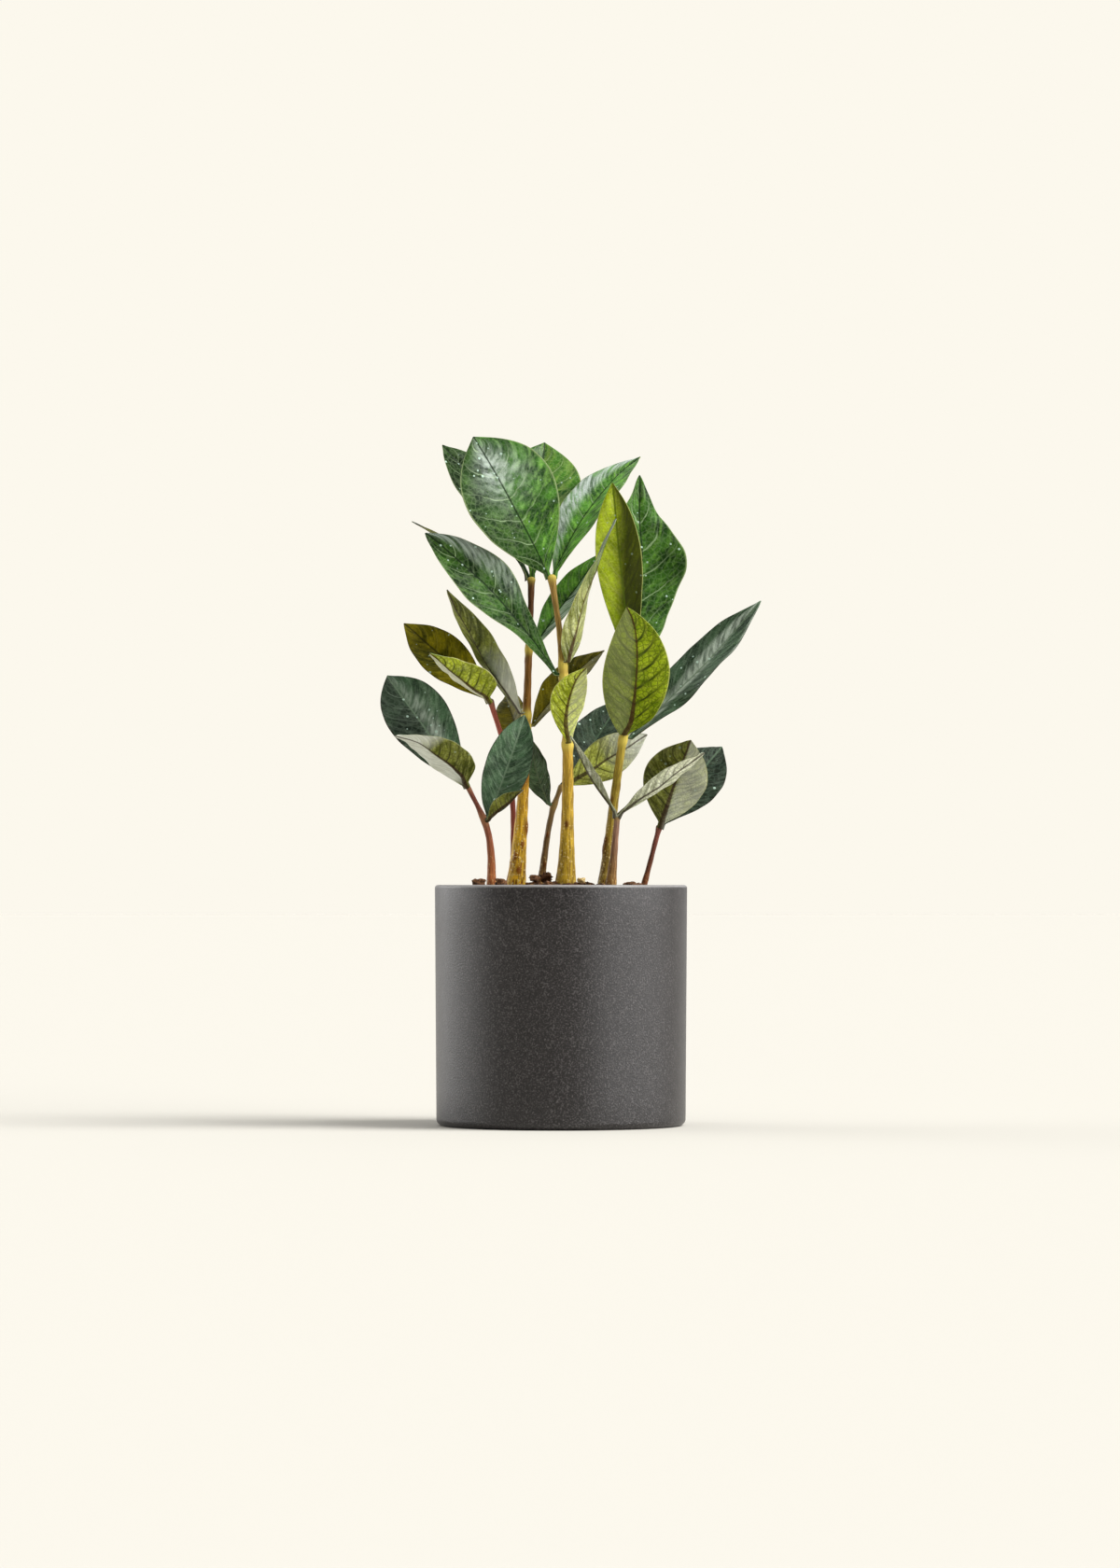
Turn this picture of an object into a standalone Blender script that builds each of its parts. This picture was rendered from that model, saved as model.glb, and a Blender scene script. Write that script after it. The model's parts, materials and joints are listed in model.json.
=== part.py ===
"""Potted ZZ plant: eight rooted stems with dark leathery leaflets, in a straight-sided stoneware pot.

Units are metres and +Z is up. The origin is the middle of the pot's foot, on the surface it stands on.
-Y is the plant's front. Every length in the tables below is in millimetres and is scaled by MM.
"""

import math
import random
from typing import NamedTuple

import bmesh
import bpy
from mathutils import Euler, Vector

MM = 0.001
GAP = 0.3 * MM  # clearance kept between touching pieces

# The pot: a cylinder with a slight draft, a soft rim and a flat foot.
POT_DIAMETER = 127 * MM
POT_HEIGHT = 121 * MM
POT_WALL = 4.5 * MM
POT_FLOOR = 7 * MM
POT_DRAFT = 0.8 * MM  # how much the radius shrinks from rim to foot
FOOT_ROUND = 3.5 * MM
RIM_ROUND = 1.6 * MM
POT_STEPS = 64

# The potting mix: fills the pot, low at the wall and heaped round the stems.
SOIL_BELOW_RIM = 5 * MM
SOIL_HEAP = 6 * MM
SOIL_STEPS = 48
ROOTED_DEPTH = 26 * MM  # how far each stem reaches down into the mix

# Leaflets: one thin curved sheet each, from a narrow stalk to a pointed tip.
LEAF_THICKNESS = 0.9 * MM
STALK_HALF_WIDTH = 0.9 * MM
TIP_HALF_WIDTH = 0.35 * MM
STALK_SHARE = 0.05  # share of the leaflet's length that is stalk
LEAF_ROWS = 10
LEAF_COLUMNS = 4

STEM_SIDES = 3  # bevel_resolution 3 gives a ten-sided stem

COLOURS = {
    "stoneware": ((0.075, 0.071, 0.069, 1.0), 0.62, 0.0),
    "potting_mix": ((0.055, 0.032, 0.018, 1.0), 0.95, 0.0),
    "bark": ((0.11, 0.045, 0.02, 1.0), 0.9, 0.0),
    "perlite": ((0.62, 0.5, 0.3, 1.0), 0.9, 0.0),
    "stem_ochre": ((0.33, 0.24, 0.055, 1.0), 0.5, 0.0),
    "stem_russet": ((0.23, 0.085, 0.05, 1.0), 0.5, 0.0),
    "leaf_dark": ((0.03, 0.075, 0.035, 1.0), 0.32, 0.0),
    "leaf_olive": ((0.095, 0.1, 0.012, 1.0), 0.38, 0.0),
    "leaf_pale": ((0.26, 0.31, 0.13, 1.0), 0.5, 0.0),
    "leaf_fresh": ((0.3, 0.4, 0.03, 1.0), 0.42, 0.0),
}


class Stem(NamedTuple):
    """A stem: its points from the soil line to its end, each (x, y, height above the rim, radius)."""

    points: tuple
    material: str


class Chip(NamedTuple):
    """A chip lying on the potting mix: its middle, its length, width and height, and its turn in degrees."""

    middle: tuple
    size: tuple
    turn: float
    material: str = "bark"


class Leaf(NamedTuple):
    """A leaflet, in millimetres from the pot's rim centre, and degrees.

    stem and height say where it grows, and tip where it ends. faces is the way its upper side looks.
    fold lifts each half from flat at the midrib and cup bends it further towards the edge. arch and
    sway bow the midrib towards the upper side and sideways, as shares of the length. twist turns the
    blade from stalk to tip, widest is where along the length it is widest, fullness below 1 makes its
    outline blunter, and ruffle is the depth of its wavy edge as a share of its half width.
    """

    stem: str
    height: float
    tip: tuple
    width: float
    faces: tuple
    fold: float = 14
    cup: float = 0
    arch: float = 0.06
    sway: float = 0.0
    twist: float = 0
    widest: float = 0.52
    fullness: float = 0.85
    ruffle: float = 0.0
    material: str = "leaf_dark"


STEMS = {
    "stem_left": Stem(
        (
            (-34.8, -14, 2, 2.3),
            (-34.8, -14, 12, 2.0),
            (-35.6, -15, 22, 1.7),
            (-37.8, -16, 31, 1.6),
            (-41.2, -18, 38.5, 1.3),
            (-44.6, -20, 45, 1.2),
            (-47.2, -21, 49.5, 1.3),
        ),
        "stem_russet",
    ),
    "stem_tall_left": Stem(
        (
            (-22.6, 4, 2, 4.7),
            (-21.6, 4, 12, 4.1),
            (-20.7, 4, 24, 3.5),
            (-19.6, 4.5, 38, 3.0),
            (-18.8, 5, 52, 2.7),
            (-18.0, 5.5, 70, 2.3),
            (-17.4, 6, 85, 2.3),
            (-16.9, 6.5, 100, 1.9),
            (-16.3, 7, 116, 1.8),
            (-15.6, 7.5, 131, 1.6),
            (-15.1, 8, 145, 1.5),
            (-15.0, 8, 155, 1.9),
        ),
        "stem_ochre",
    ),
    "stem_back_left": Stem(
        (
            (-24.0, 19, 2, 1.9),
            (-24.0, 19, 20, 1.6),
            (-24.2, 18, 38, 1.4),
            (-25.8, 15, 56, 1.3),
            (-29.4, 10, 73, 1.3),
            (-33.2, 6, 85, 1.3),
            (-35.8, 4, 93, 1.5),
        ),
        "stem_russet",
    ),
    "stem_slender": Stem(
        (
            (-9.9, 17, 2, 2.0),
            (-8.4, 17, 14, 1.7),
            (-6.6, 16.5, 27, 1.5),
            (-4.3, 16, 38, 1.5),
            (-2.0, 15.5, 44.5, 1.3),
            (0.6, 15, 50, 1.4),
        ),
        "stem_russet",
    ),
    "stem_centre": Stem(
        (
            (2.4, -8, 2, 4.9),
            (2.8, -8, 14, 4.1),
            (3.2, -8, 32, 3.2),
            (3.4, -8, 50, 2.9),
            (3.3, -8, 70, 2.6),
            (2.5, -7.5, 86, 2.2),
            (1.5, -7, 102, 2.3),
            (0.8, -7, 111, 2.0),
            (-0.6, -6.5, 127, 1.6),
            (-2.4, -6, 139, 1.5),
            (-3.8, -6, 148, 1.6),
            (-4.8, -6, 155, 2.1),
        ),
        "stem_ochre",
    ),
    "stem_right": Stem(
        (
            (22.6, 10, 2, 3.8),
            (24.0, 10, 15, 3.1),
            (25.6, 10, 32, 2.5),
            (27.3, 10, 46, 2.3),
            (29.2, 10, 60, 2.1),
            (31.2, 10, 73, 2.1),
            (33.8, 9.5, 88, 1.7),
            (37.0, 8.5, 108, 1.8),
        ),
        "stem_ochre",
    ),
    "stem_front_right": Stem(
        (
            (25.2, -13, 2, 2.6),
            (26.4, -13.5, 14, 1.9),
            (27.5, -14, 26, 1.5),
            (28.3, -15, 35, 1.5),
        ),
        "stem_russet",
    ),
    "stem_far_right": Stem(
        (
            (42.3, -3, 2, 1.5),
            (45.0, -3.5, 12, 1.3),
            (47.8, -4.5, 23, 1.3),
            (49.6, -5, 29.5, 1.5),
        ),
        "stem_russet",
    ),
}

LEAVES = {
    # On the left stem: a pair at its end, and a pair lower down.
    "leaf_left_end_dark": Leaf(
        "stem_left", 49, (-87.5, 2, 105.4), 32, (-0.1, -0.85, 0.4), sway=-0.01, widest=0.58, fullness=0.7
    ),
    "leaf_left_end_pale": Leaf(
        "stem_left", 49, (-82, -58, 73.5), 25, (0.2, 0.6, 0.7),
        arch=0.05, sway=-0.08, widest=0.36, material="leaf_pale",
    ),
    "leaf_left_mid_dark": Leaf(
        "stem_left", 33, (-18.2, -16, 85), 23, (0.1, -0.95, 0.2), sway=0.01, widest=0.5, fullness=0.65
    ),
    "leaf_left_mid_folded": Leaf(
        "stem_left", 32, (-19, -46, 47), 12, (-0.2, 0.3, 0.9), fold=35, arch=0.0, material="leaf_olive"
    ),
    # On the tall left stem: the pair at its top, one on each side lower down, and a low trio.
    "leaf_back_top_left": Leaf(
        "stem_tall_left", 155, (-60.1, 14, 222.8), 30, (0.5, -0.7, 0.35), sway=-0.01, widest=0.64
    ),
    "leaf_back_top_right": Leaf("stem_tall_left", 155, (-8.5, 46, 226.5), 42, (0.1, -0.9, 0.4), widest=0.6),
    "leaf_back_upper_left": Leaf(
        "stem_tall_left", 127, (-75.5, 14, 184), 16, (0.7, 0.1, 0.7), fold=8, arch=0.08
    ),
    "leaf_back_middle": Leaf("stem_tall_left", 120, (22, 32, 170), 20, (-0.3, -0.6, 0.7), arch=0.02),
    "leaf_left_narrow": Leaf(
        "stem_tall_left", 86, (-57, -22, 147.5), 27, (0.75, 0.5, 0.4), arch=-0.02, material="leaf_olive"
    ),
    "leaf_centre_olive": Leaf(
        "stem_tall_left", 80, (22, 22, 119), 24, (-0.5, -0.6, 0.6), material="leaf_olive"
    ),
    "leaf_back_small_olive": Leaf(
        "stem_tall_left", 73, (-28, 36, 97), 18, (-0.6, -0.6, 0.5), material="leaf_olive"
    ),
    # On the back left stem: a pair at its end.
    "leaf_left_upper_olive": Leaf(
        "stem_back_left", 93, (-79.8, 25, 132.8), 24, (-0.2, -0.8, 0.5), arch=0.03, material="leaf_olive"
    ),
    "leaf_left_upper_fresh": Leaf(
        "stem_back_left", 93, (-65.3, -36, 115.2), 25, (0.3, 0.6, 0.7),
        fold=25, arch=-0.02, sway=-0.02, widest=0.34, material="leaf_fresh",
    ),
    # On the slender stem: a leaflet partway up and a pair at its end.
    "leaf_low_narrow": Leaf("stem_slender", 40, (-16.5, 12, 75.5), 16, (-0.5, -0.8, 0.1)),
    "leaf_low_back_dark": Leaf(
        "stem_slender", 50, (31.8, 62, 96.1), 26, (-0.2, -0.9, 0.3), arch=-0.02
    ),
    "leaf_low_back_olive": Leaf(
        "stem_slender", 50, (43.8, 24, 76.4), 23, (-0.1, 0.85, 0.4), fold=7, arch=0.0, material="leaf_olive"
    ),
    # On the centre stem: the pair at its top, a pair below that, and one low in front.
    "leaf_top_large": Leaf(
        "stem_centre", 155, (-44, -16, 224.5), 50, (0.1, -0.9, 0.35), widest=0.58, fullness=0.68
    ),
    "leaf_top_right": Leaf("stem_centre", 155, (40.4, 30, 218), 34, (-0.4, -0.5, 0.7), arch=0.08),
    "leaf_left_large": Leaf(
        "stem_centre", 105, (-68, -20, 176), 29, (0.1, -0.8, 0.5),
        sway=0.02, widest=0.66, fullness=0.75, ruffle=0.1,
    ),
    "leaf_centre_folded": Leaf(
        "stem_centre", 111, (27.5, -32, 182.5), 16, (-0.87, 0.32, 0.35),
        arch=0.03, twist=-80, widest=0.35,
    ),
    "leaf_centre_fresh": Leaf(
        "stem_centre", 71, (12.5, -40, 107.5), 18, (-0.1, 0.8, 0.5), sway=0.1, material="leaf_fresh"
    ),
    # On the right stem: a pair at its top, and a pair lower down.
    "leaf_right_pale": Leaf(
        "stem_right", 75, (32.8, -30, 138.4), 34, (0.0, 0.9, 0.4),
        fold=9, arch=0.03, sway=-0.085, widest=0.43, fullness=0.75, material="leaf_fresh",
    ),
    "leaf_right_long": Leaf(
        "stem_right", 74, (101.4, 18, 144), 27, (-0.5, -0.7, 0.5), arch=-0.02, ruffle=0.15
    ),
    "leaf_right_yellow": Leaf(
        "stem_right", 108, (25.8, -10, 202), 24, (-0.2, -0.9, 0.2),
        sway=0.01, widest=0.6, fullness=0.7, material="leaf_fresh",
    ),
    "leaf_right_large": Leaf(
        "stem_right", 108, (40, 28, 208.5), 43, (0.25, -0.9, 0.2), widest=0.46, fullness=1.15, ruffle=0.2
    ),
    # On the short front right stem: a pair at its end.
    "leaf_front_slim": Leaf(
        "stem_front_right", 35, (4.7, -40, 74), 10, (0.7, 0.2, 0.7), fold=30, arch=-0.03, material="leaf_pale"
    ),
    "leaf_front_pale": Leaf(
        "stem_front_right", 35, (71, -42, 65.5), 12, (-0.1, 0.5, 0.8), arch=0.0, material="leaf_pale"
    ),
    # On the far right stem: a pair at its end.
    "leaf_far_right_olive": Leaf(
        "stem_far_right", 29.5, (64.8, -24, 72.2), 33, (0.0, 0.9, 0.3), widest=0.48, material="leaf_pale"
    ),
    "leaf_far_right_dark": Leaf("stem_far_right", 29.5, (81.6, 22, 70), 29, (0.0, -0.9, 0.3), fold=10),
}

CHIPS = {
    "chip_left_front": Chip((-41, -22), (8, 7, 6.5), 20),
    "chip_left_inner": Chip((-29.5, -22), (8, 6, 5.5), -35),
    "chip_middle": Chip((-13.4, -12), (7, 6, 4.5), 50),
    "chip_tall": Chip((-7.5, -1), (8, 6, 5.5), 10),
    "chip_golden": Chip((10, -17), (5, 4, 3.5), 0, "perlite"),
    "chip_right_front": Chip((38, -26), (9, 6, 4.5), 65),
    "chip_right_back": Chip((36, 28), (10, 7, 5), -20),
    "chip_back": Chip((2, 38), (9, 7, 5), 80),
    "chip_left_back": Chip((-42, 24), (8, 7, 5), 35),
    "chip_front": Chip((-6, -38), (8, 6, 4), -60),
}


def clear_scene():
    """Removes whatever the scene starts with."""
    for obj in list(bpy.data.objects):
        bpy.data.objects.remove(obj)


def new_collection(name):
    """A collection of that name, linked to the scene."""
    collection = bpy.data.collections.new(name)
    bpy.context.scene.collection.children.link(collection)
    return collection


def material(name):
    """The Principled material of that name, made on first use."""
    found = bpy.data.materials.get(name)
    if found:
        return found
    colour, roughness, metallic = COLOURS[name]
    made = bpy.data.materials.new(name)
    made.use_nodes = True
    shader = made.node_tree.nodes["Principled BSDF"]
    shader.inputs["Base Color"].default_value = colour
    shader.inputs["Roughness"].default_value = roughness
    shader.inputs["Metallic"].default_value = metallic
    return made


def add_object(name, data, collection, material_name):
    """A new object of that data, with its material."""
    obj = bpy.data.objects.new(name, data)
    collection.objects.link(obj)
    if material_name:
        obj.data.materials.append(material(material_name))
    return obj


def arc(centre, radius, start, end, steps):
    """Points (r, z) on an arc about centre, from the start to the end angle in degrees."""
    angles = [math.radians(start + (end - start) * i / steps) for i in range(steps + 1)]
    return [(centre[0] + radius * math.cos(a), centre[1] + radius * math.sin(a)) for a in angles]


def turned(name, profile, steps, collection, material_name):
    """A solid turned about Z from a profile of (r, z) points, which runs down its outer side."""
    mesh = bpy.data.meshes.new(name)
    edges = [(i, i + 1) for i in range(len(profile) - 1)]
    mesh.from_pydata([(r, 0, z) for r, z in profile], edges, [])
    obj = add_object(name, mesh, collection, material_name)
    screw = obj.modifiers.new("turn", "SCREW")
    screw.steps = steps
    screw.render_steps = steps
    screw.use_merge_vertices = True
    screw.merge_threshold = 0.00005
    screw.use_smooth_shade = True
    return obj


def pot_inner_radius(height):
    """The radius of the pot's inner wall at a height above its foot."""
    return POT_DIAMETER / 2 - POT_WALL - POT_DRAFT * (1 - height / POT_HEIGHT)


def make_pot(collection):
    """The pot: floor, wall with a rounded rim, and a flat foot with a rounded edge."""
    rim = POT_DIAMETER / 2
    foot = rim - POT_DRAFT
    inner_floor = pot_inner_radius(POT_FLOOR)
    profile = [(0, POT_FLOOR)]
    profile += arc((inner_floor - FOOT_ROUND, POT_FLOOR + FOOT_ROUND), FOOT_ROUND, -90, 0, 3)
    profile += arc((rim - POT_WALL + RIM_ROUND, POT_HEIGHT - RIM_ROUND), RIM_ROUND, 180, 90, 3)
    profile += arc((rim - RIM_ROUND, POT_HEIGHT - RIM_ROUND), RIM_ROUND, 90, 0, 3)
    profile += arc((foot - FOOT_ROUND, FOOT_ROUND), FOOT_ROUND, 0, -90, 4)
    profile.append((0, 0))
    return turned("pot", profile, POT_STEPS, collection, "stoneware")


def soil_height(radius):
    """Height of the potting mix's surface above the pot's foot, at a radius from the middle."""
    share = min(1.0, radius / pot_inner_radius(POT_HEIGHT))
    return POT_HEIGHT - SOIL_BELOW_RIM + SOIL_HEAP * (1 - share**2) ** 2


def make_soil(collection, sockets):
    """The potting mix, with a socket for each stem."""
    bottom = pot_inner_radius(POT_FLOOR) - FOOT_ROUND
    wall = pot_inner_radius(POT_HEIGHT - SOIL_BELOW_RIM) - GAP
    rings = [wall * i / 6 for i in range(7)]
    profile = [(r, soil_height(r)) for r in rings]
    profile += [
        (pot_inner_radius(POT_FLOOR + FOOT_ROUND) - GAP, POT_FLOOR + FOOT_ROUND),
        (bottom, POT_FLOOR + GAP),
        (0, POT_FLOOR + GAP),
    ]
    soil = turned("potting_mix", profile, SOIL_STEPS, collection, "potting_mix")
    for socket in sockets:
        cut = soil.modifiers.new(socket.name, "BOOLEAN")
        cut.operation = "DIFFERENCE"
        cut.object = socket
    return soil


def stem_path(stem):
    """The stem's points in metres, each (centre, radius), from its rooted end up."""
    above = [(Vector((x, y, z)) * MM + Vector((0, 0, POT_HEIGHT)), r * MM) for x, y, z, r in stem.points]
    first, radius = above[0]
    down = (above[0][0] - above[1][0]).normalized()
    rooted = first + down * (ROOTED_DEPTH / abs(down.z))
    return [(rooted, radius)] + above


def tube(name, path, extra, collection, material_name):
    """A round tube through the path's points, each with its own radius plus extra."""
    data = bpy.data.curves.new(name, "CURVE")
    data.dimensions = "3D"
    data.bevel_depth = 1.0
    data.bevel_resolution = STEM_SIDES
    data.use_fill_caps = True
    spline = data.splines.new("POLY")
    spline.points.add(len(path) - 1)
    for point, (centre, radius) in zip(spline.points, path):
        point.co = (*centre, 1)
        point.radius = radius + extra
    return add_object(name, data, collection, material_name)


def meshed(curve, collection):
    """The curve object as a closed mesh object in its place."""
    name = curve.name
    graph = bpy.context.evaluated_depsgraph_get()
    mesh = bpy.data.meshes.new_from_object(curve.evaluated_get(graph))
    shape = bmesh.new()
    shape.from_mesh(mesh)
    bmesh.ops.remove_doubles(shape, verts=shape.verts, dist=0.00001)
    bmesh.ops.recalc_face_normals(shape, faces=shape.faces)
    shape.to_mesh(mesh)
    shape.free()
    matrix = curve.matrix_world.copy()
    bpy.data.objects.remove(curve)
    mesh.name = name
    obj = bpy.data.objects.new(name, mesh)
    obj.matrix_world = matrix
    collection.objects.link(obj)
    return obj


def make_socket(name, stem, cutters):
    """The cutter for a stem's socket: the rooted stretch of the stem, a gap wider and longer."""
    path = stem_path(stem)[:3]
    (end, radius), (soil_line, _) = path[:2]
    beyond = end + (end - soil_line).normalized() * GAP
    socket = meshed(tube(f"socket_{name}", [(beyond, radius)] + path[1:], GAP, cutters, None), cutters)
    socket.hide_render = True
    socket.display_type = "WIRE"
    return socket


def make_stem(name, stem, collection):
    """A stem as a tapering tube, rooted in the mix."""
    return tube(name, stem_path(stem), 0, collection, stem.material)


def on_stem(stem, height):
    """(centre, radius, direction) of a stem at a height above the rim, in metres."""
    path = stem_path(stem)
    wanted = POT_HEIGHT + height * MM
    for (low, r_low), (high, r_high) in zip(path, path[1:]):
        if wanted <= high.z:
            break
    share = min(1.0, (wanted - low.z) / (high.z - low.z))
    return low.lerp(high, share), r_low + (r_high - r_low) * share, (high - low).normalized()


def leaf_base(leaf, tip):
    """Where the leaflet's stalk starts, just clear of its stem's skin."""
    stem = STEMS[leaf.stem]
    centre, radius, along = on_stem(stem, leaf.height)
    toward = (tip - centre).normalized()
    outward = (toward - along * toward.dot(along)).normalized()
    at_end = leaf.height * MM + POT_HEIGHT > stem_path(stem)[-1][0].z - radius
    clear = STALK_HALF_WIDTH + GAP
    if at_end:
        return centre + outward * radius * 0.9 + (toward + along).normalized() * clear * 1.4
    return centre + outward * (radius + clear)


def half_width(leaf, u):
    """The leaflet's half width at u, its share of the length from stalk to tip."""
    power = math.log(0.5) / math.log(leaf.widest)
    blade = max(0.0, math.sin(math.pi * min(1.0, u) ** power)) ** leaf.fullness
    point = 1 - 0.25 * max(0.0, (u - 0.8) / 0.2) ** 2
    narrowest = STALK_HALF_WIDTH + (TIP_HALF_WIDTH - STALK_HALF_WIDTH) * u
    grown = min(1.0, max(0.0, u / STALK_SHARE - 0.5))
    return max(narrowest, leaf.width * MM / 2 * blade * point * grown)


def across(leaf, v):
    """(sideways, lifted) of a point v from the midrib, -1 to 1, for a half width of one."""
    start, turn = math.radians(leaf.fold), math.radians(leaf.cup)
    side, v = math.copysign(1, v), abs(v)
    if abs(turn) < 1e-4:
        return side * v * math.cos(start), v * math.sin(start)
    end = start + turn * v
    return side * (math.sin(end) - math.sin(start)) / turn, (math.cos(start) - math.cos(end)) / turn


def leaf_point(leaf, base, tip, u, v):
    """The point of the leaflet's sheet at u along it and v across it."""
    chord = tip - base
    length = chord.length
    forward = chord / length
    faces = Vector(leaf.faces)
    up = (faces - forward * faces.dot(forward)).normalized()
    side = forward.cross(up)
    bow = 4 * u * (1 - u)
    slope = 4 * (1 - 2 * u)
    middle = base + chord * u + (up * leaf.arch + side * leaf.sway) * bow * length
    along = (forward + (up * leaf.arch + side * leaf.sway) * slope).normalized()
    turn = math.radians(leaf.twist) * (u - 0.5)
    out = (side * math.cos(turn) + up * math.sin(turn)).normalized()
    out = (out - along * out.dot(along)).normalized()
    lift = out.cross(along)
    half = half_width(leaf, u)
    sideways, lifted = across(leaf, v)
    wave = leaf.ruffle * v * abs(v) * math.sin(4 * math.pi * u + 0.75)
    half *= 1 + 0.5 * abs(wave) * math.copysign(1, wave * v)
    return middle + out * sideways * half + lift * (lifted + wave) * half


def make_leaf(name, leaf, collection):
    """A leaflet: a grid bent into its curved blade, then given its thickness."""
    tip = Vector(leaf.tip) * MM + Vector((0, 0, POT_HEIGHT))
    base = leaf_base(leaf, tip)
    sheet = bmesh.new()
    bmesh.ops.create_grid(sheet, x_segments=LEAF_ROWS, y_segments=LEAF_COLUMNS, size=0.5)
    for vertex in sheet.verts:
        vertex.co = leaf_point(leaf, base, tip, vertex.co.x + 0.5, vertex.co.y * 2)
    mesh = bpy.data.meshes.new(name)
    sheet.to_mesh(mesh)
    sheet.free()
    mesh.shade_smooth()
    obj = add_object(name, mesh, collection, leaf.material)
    solid = obj.modifiers.new("thickness", "SOLIDIFY")
    solid.thickness = LEAF_THICKNESS
    solid.offset = 0
    return obj


def make_chip(name, chip, collection):
    """A chip: a rough lump, resting on the mix."""
    rng = random.Random(name)
    lump = bmesh.new()
    bmesh.ops.create_icosphere(lump, subdivisions=2, radius=1)
    for vertex in lump.verts:
        vertex.co *= rng.uniform(0.82, 1.0)
        vertex.co = Vector(co * size * MM / 2 for co, size in zip(vertex.co, chip.size))
    mesh = bpy.data.meshes.new(name)
    lump.to_mesh(mesh)
    lump.free()
    obj = add_object(name, mesh, collection, chip.material)
    x, y = (co * MM for co in chip.middle)
    reach = math.hypot(*chip.size[:2]) * MM / 2
    below = soil_height(max(0.0, math.hypot(x, y) - reach))
    obj.location = (x, y, below + GAP + chip.size[2] * MM / 2)
    obj.rotation_euler = Euler((0, 0, math.radians(chip.turn)))
    return obj


def main():
    """Builds the pot, the mix, the stems and the leaflets."""
    clear_scene()
    plant = new_collection("potted_zz_plant")
    cutters = new_collection("cutters")
    make_pot(plant)
    sockets = [make_socket(name, stem, cutters) for name, stem in STEMS.items()]
    make_soil(plant, sockets)
    for name, stem in STEMS.items():
        make_stem(name, stem, plant)
    for name, leaf in LEAVES.items():
        make_leaf(name, leaf, plant)
    for name, chip in CHIPS.items():
        make_chip(name, chip, plant)


main()
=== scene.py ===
"""A potted ZZ plant: waxy leaflets on fleshy stems, in bark mix in a matte charcoal stoneware pot.

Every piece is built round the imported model, in metres. Leaflets and stems are measured from their
solids and made again with finer shape, and each is dressed in its own finish.
"""

from __future__ import annotations

import json
import logging
import math
import random
from dataclasses import dataclass, field
from enum import Enum

import bmesh
import bpy
import numpy as np
from mathutils import Matrix, Vector, noise
from mathutils.bvhtree import BVHTree

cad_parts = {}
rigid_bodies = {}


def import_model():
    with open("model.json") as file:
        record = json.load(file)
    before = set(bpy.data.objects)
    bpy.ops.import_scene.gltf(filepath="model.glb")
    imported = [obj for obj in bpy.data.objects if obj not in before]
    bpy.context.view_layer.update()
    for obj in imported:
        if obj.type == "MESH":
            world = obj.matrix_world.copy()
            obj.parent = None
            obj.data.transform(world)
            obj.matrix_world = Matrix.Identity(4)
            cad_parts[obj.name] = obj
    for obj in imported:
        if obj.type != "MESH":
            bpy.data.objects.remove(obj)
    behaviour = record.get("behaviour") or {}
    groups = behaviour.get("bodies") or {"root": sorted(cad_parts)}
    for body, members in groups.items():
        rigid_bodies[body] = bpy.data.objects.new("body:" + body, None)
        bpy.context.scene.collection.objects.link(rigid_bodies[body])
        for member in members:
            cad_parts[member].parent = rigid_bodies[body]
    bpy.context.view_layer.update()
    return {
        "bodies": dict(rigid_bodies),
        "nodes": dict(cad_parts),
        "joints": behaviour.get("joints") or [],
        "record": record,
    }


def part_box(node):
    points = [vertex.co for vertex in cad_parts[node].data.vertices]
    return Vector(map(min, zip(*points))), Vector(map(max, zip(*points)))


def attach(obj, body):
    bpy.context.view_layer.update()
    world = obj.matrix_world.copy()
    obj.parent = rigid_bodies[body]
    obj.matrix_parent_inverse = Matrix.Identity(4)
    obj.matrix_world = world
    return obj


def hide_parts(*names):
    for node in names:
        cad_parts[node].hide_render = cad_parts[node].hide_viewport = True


LOG = logging.getLogger("zz_plant")
MM = 0.001
BODY = "root"
TURN = 2 * math.pi
# A wave starts anywhere in about one turn.
ANY_PHASE = (0, 6.28)
Socket = bpy.types.NodeSocket


def linear(hex_colour: str) -> tuple[float, float, float, float]:
    """Turns an sRGB hex colour into the linear colour that shaders take.

    Args:
        hex_colour: Six hex digits, with or without a leading #.

    Returns:
        Linear red, green and blue, and an alpha of 1.
    """
    digits = hex_colour.lstrip("#")
    parts = [int(digits[i : i + 2], 16) / 255 for i in (0, 2, 4)]
    turned = [c / 12.92 if c <= 0.04045 else ((c + 0.055) / 1.055) ** 2.4 for c in parts]
    return (*turned, 1.0)


def put(
    tree: bpy.types.NodeTree,
    kind: str,
    inputs: dict | None = None,
    **settings: object,
) -> bpy.types.Node:
    """Adds a node with its settings, and sets or links its inputs.

    A Map Range's inputs 1 to 4 are the span that it reads and the span that it gives. A colour
    Mix's inputs 0, 6 and 7 are its factor and its two colours.

    Args:
        tree: The node tree that the node goes in.
        kind: The node's type, such as ShaderNodeMath.
        inputs: Input name or index to a value or to another node's output.
        settings: The node's own properties.

    Returns:
        The new node.
    """
    made = tree.nodes.new(kind)
    for name, value in settings.items():
        setattr(made, name, value)
    for key, value in (inputs or {}).items():
        if isinstance(value, Socket):
            tree.links.new(value, made.inputs[key])
        else:
            made.inputs[key].default_value = value
    return made


def blank_material(name: str) -> tuple[bpy.types.Material, bpy.types.NodeTree]:
    """Makes a material with an empty node tree.

    Args:
        name: The material's name.

    Returns:
        The material and its node tree.
    """
    made = bpy.data.materials.new(name)
    made.use_nodes = True
    made.node_tree.nodes.clear()
    return made, made.node_tree


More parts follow.
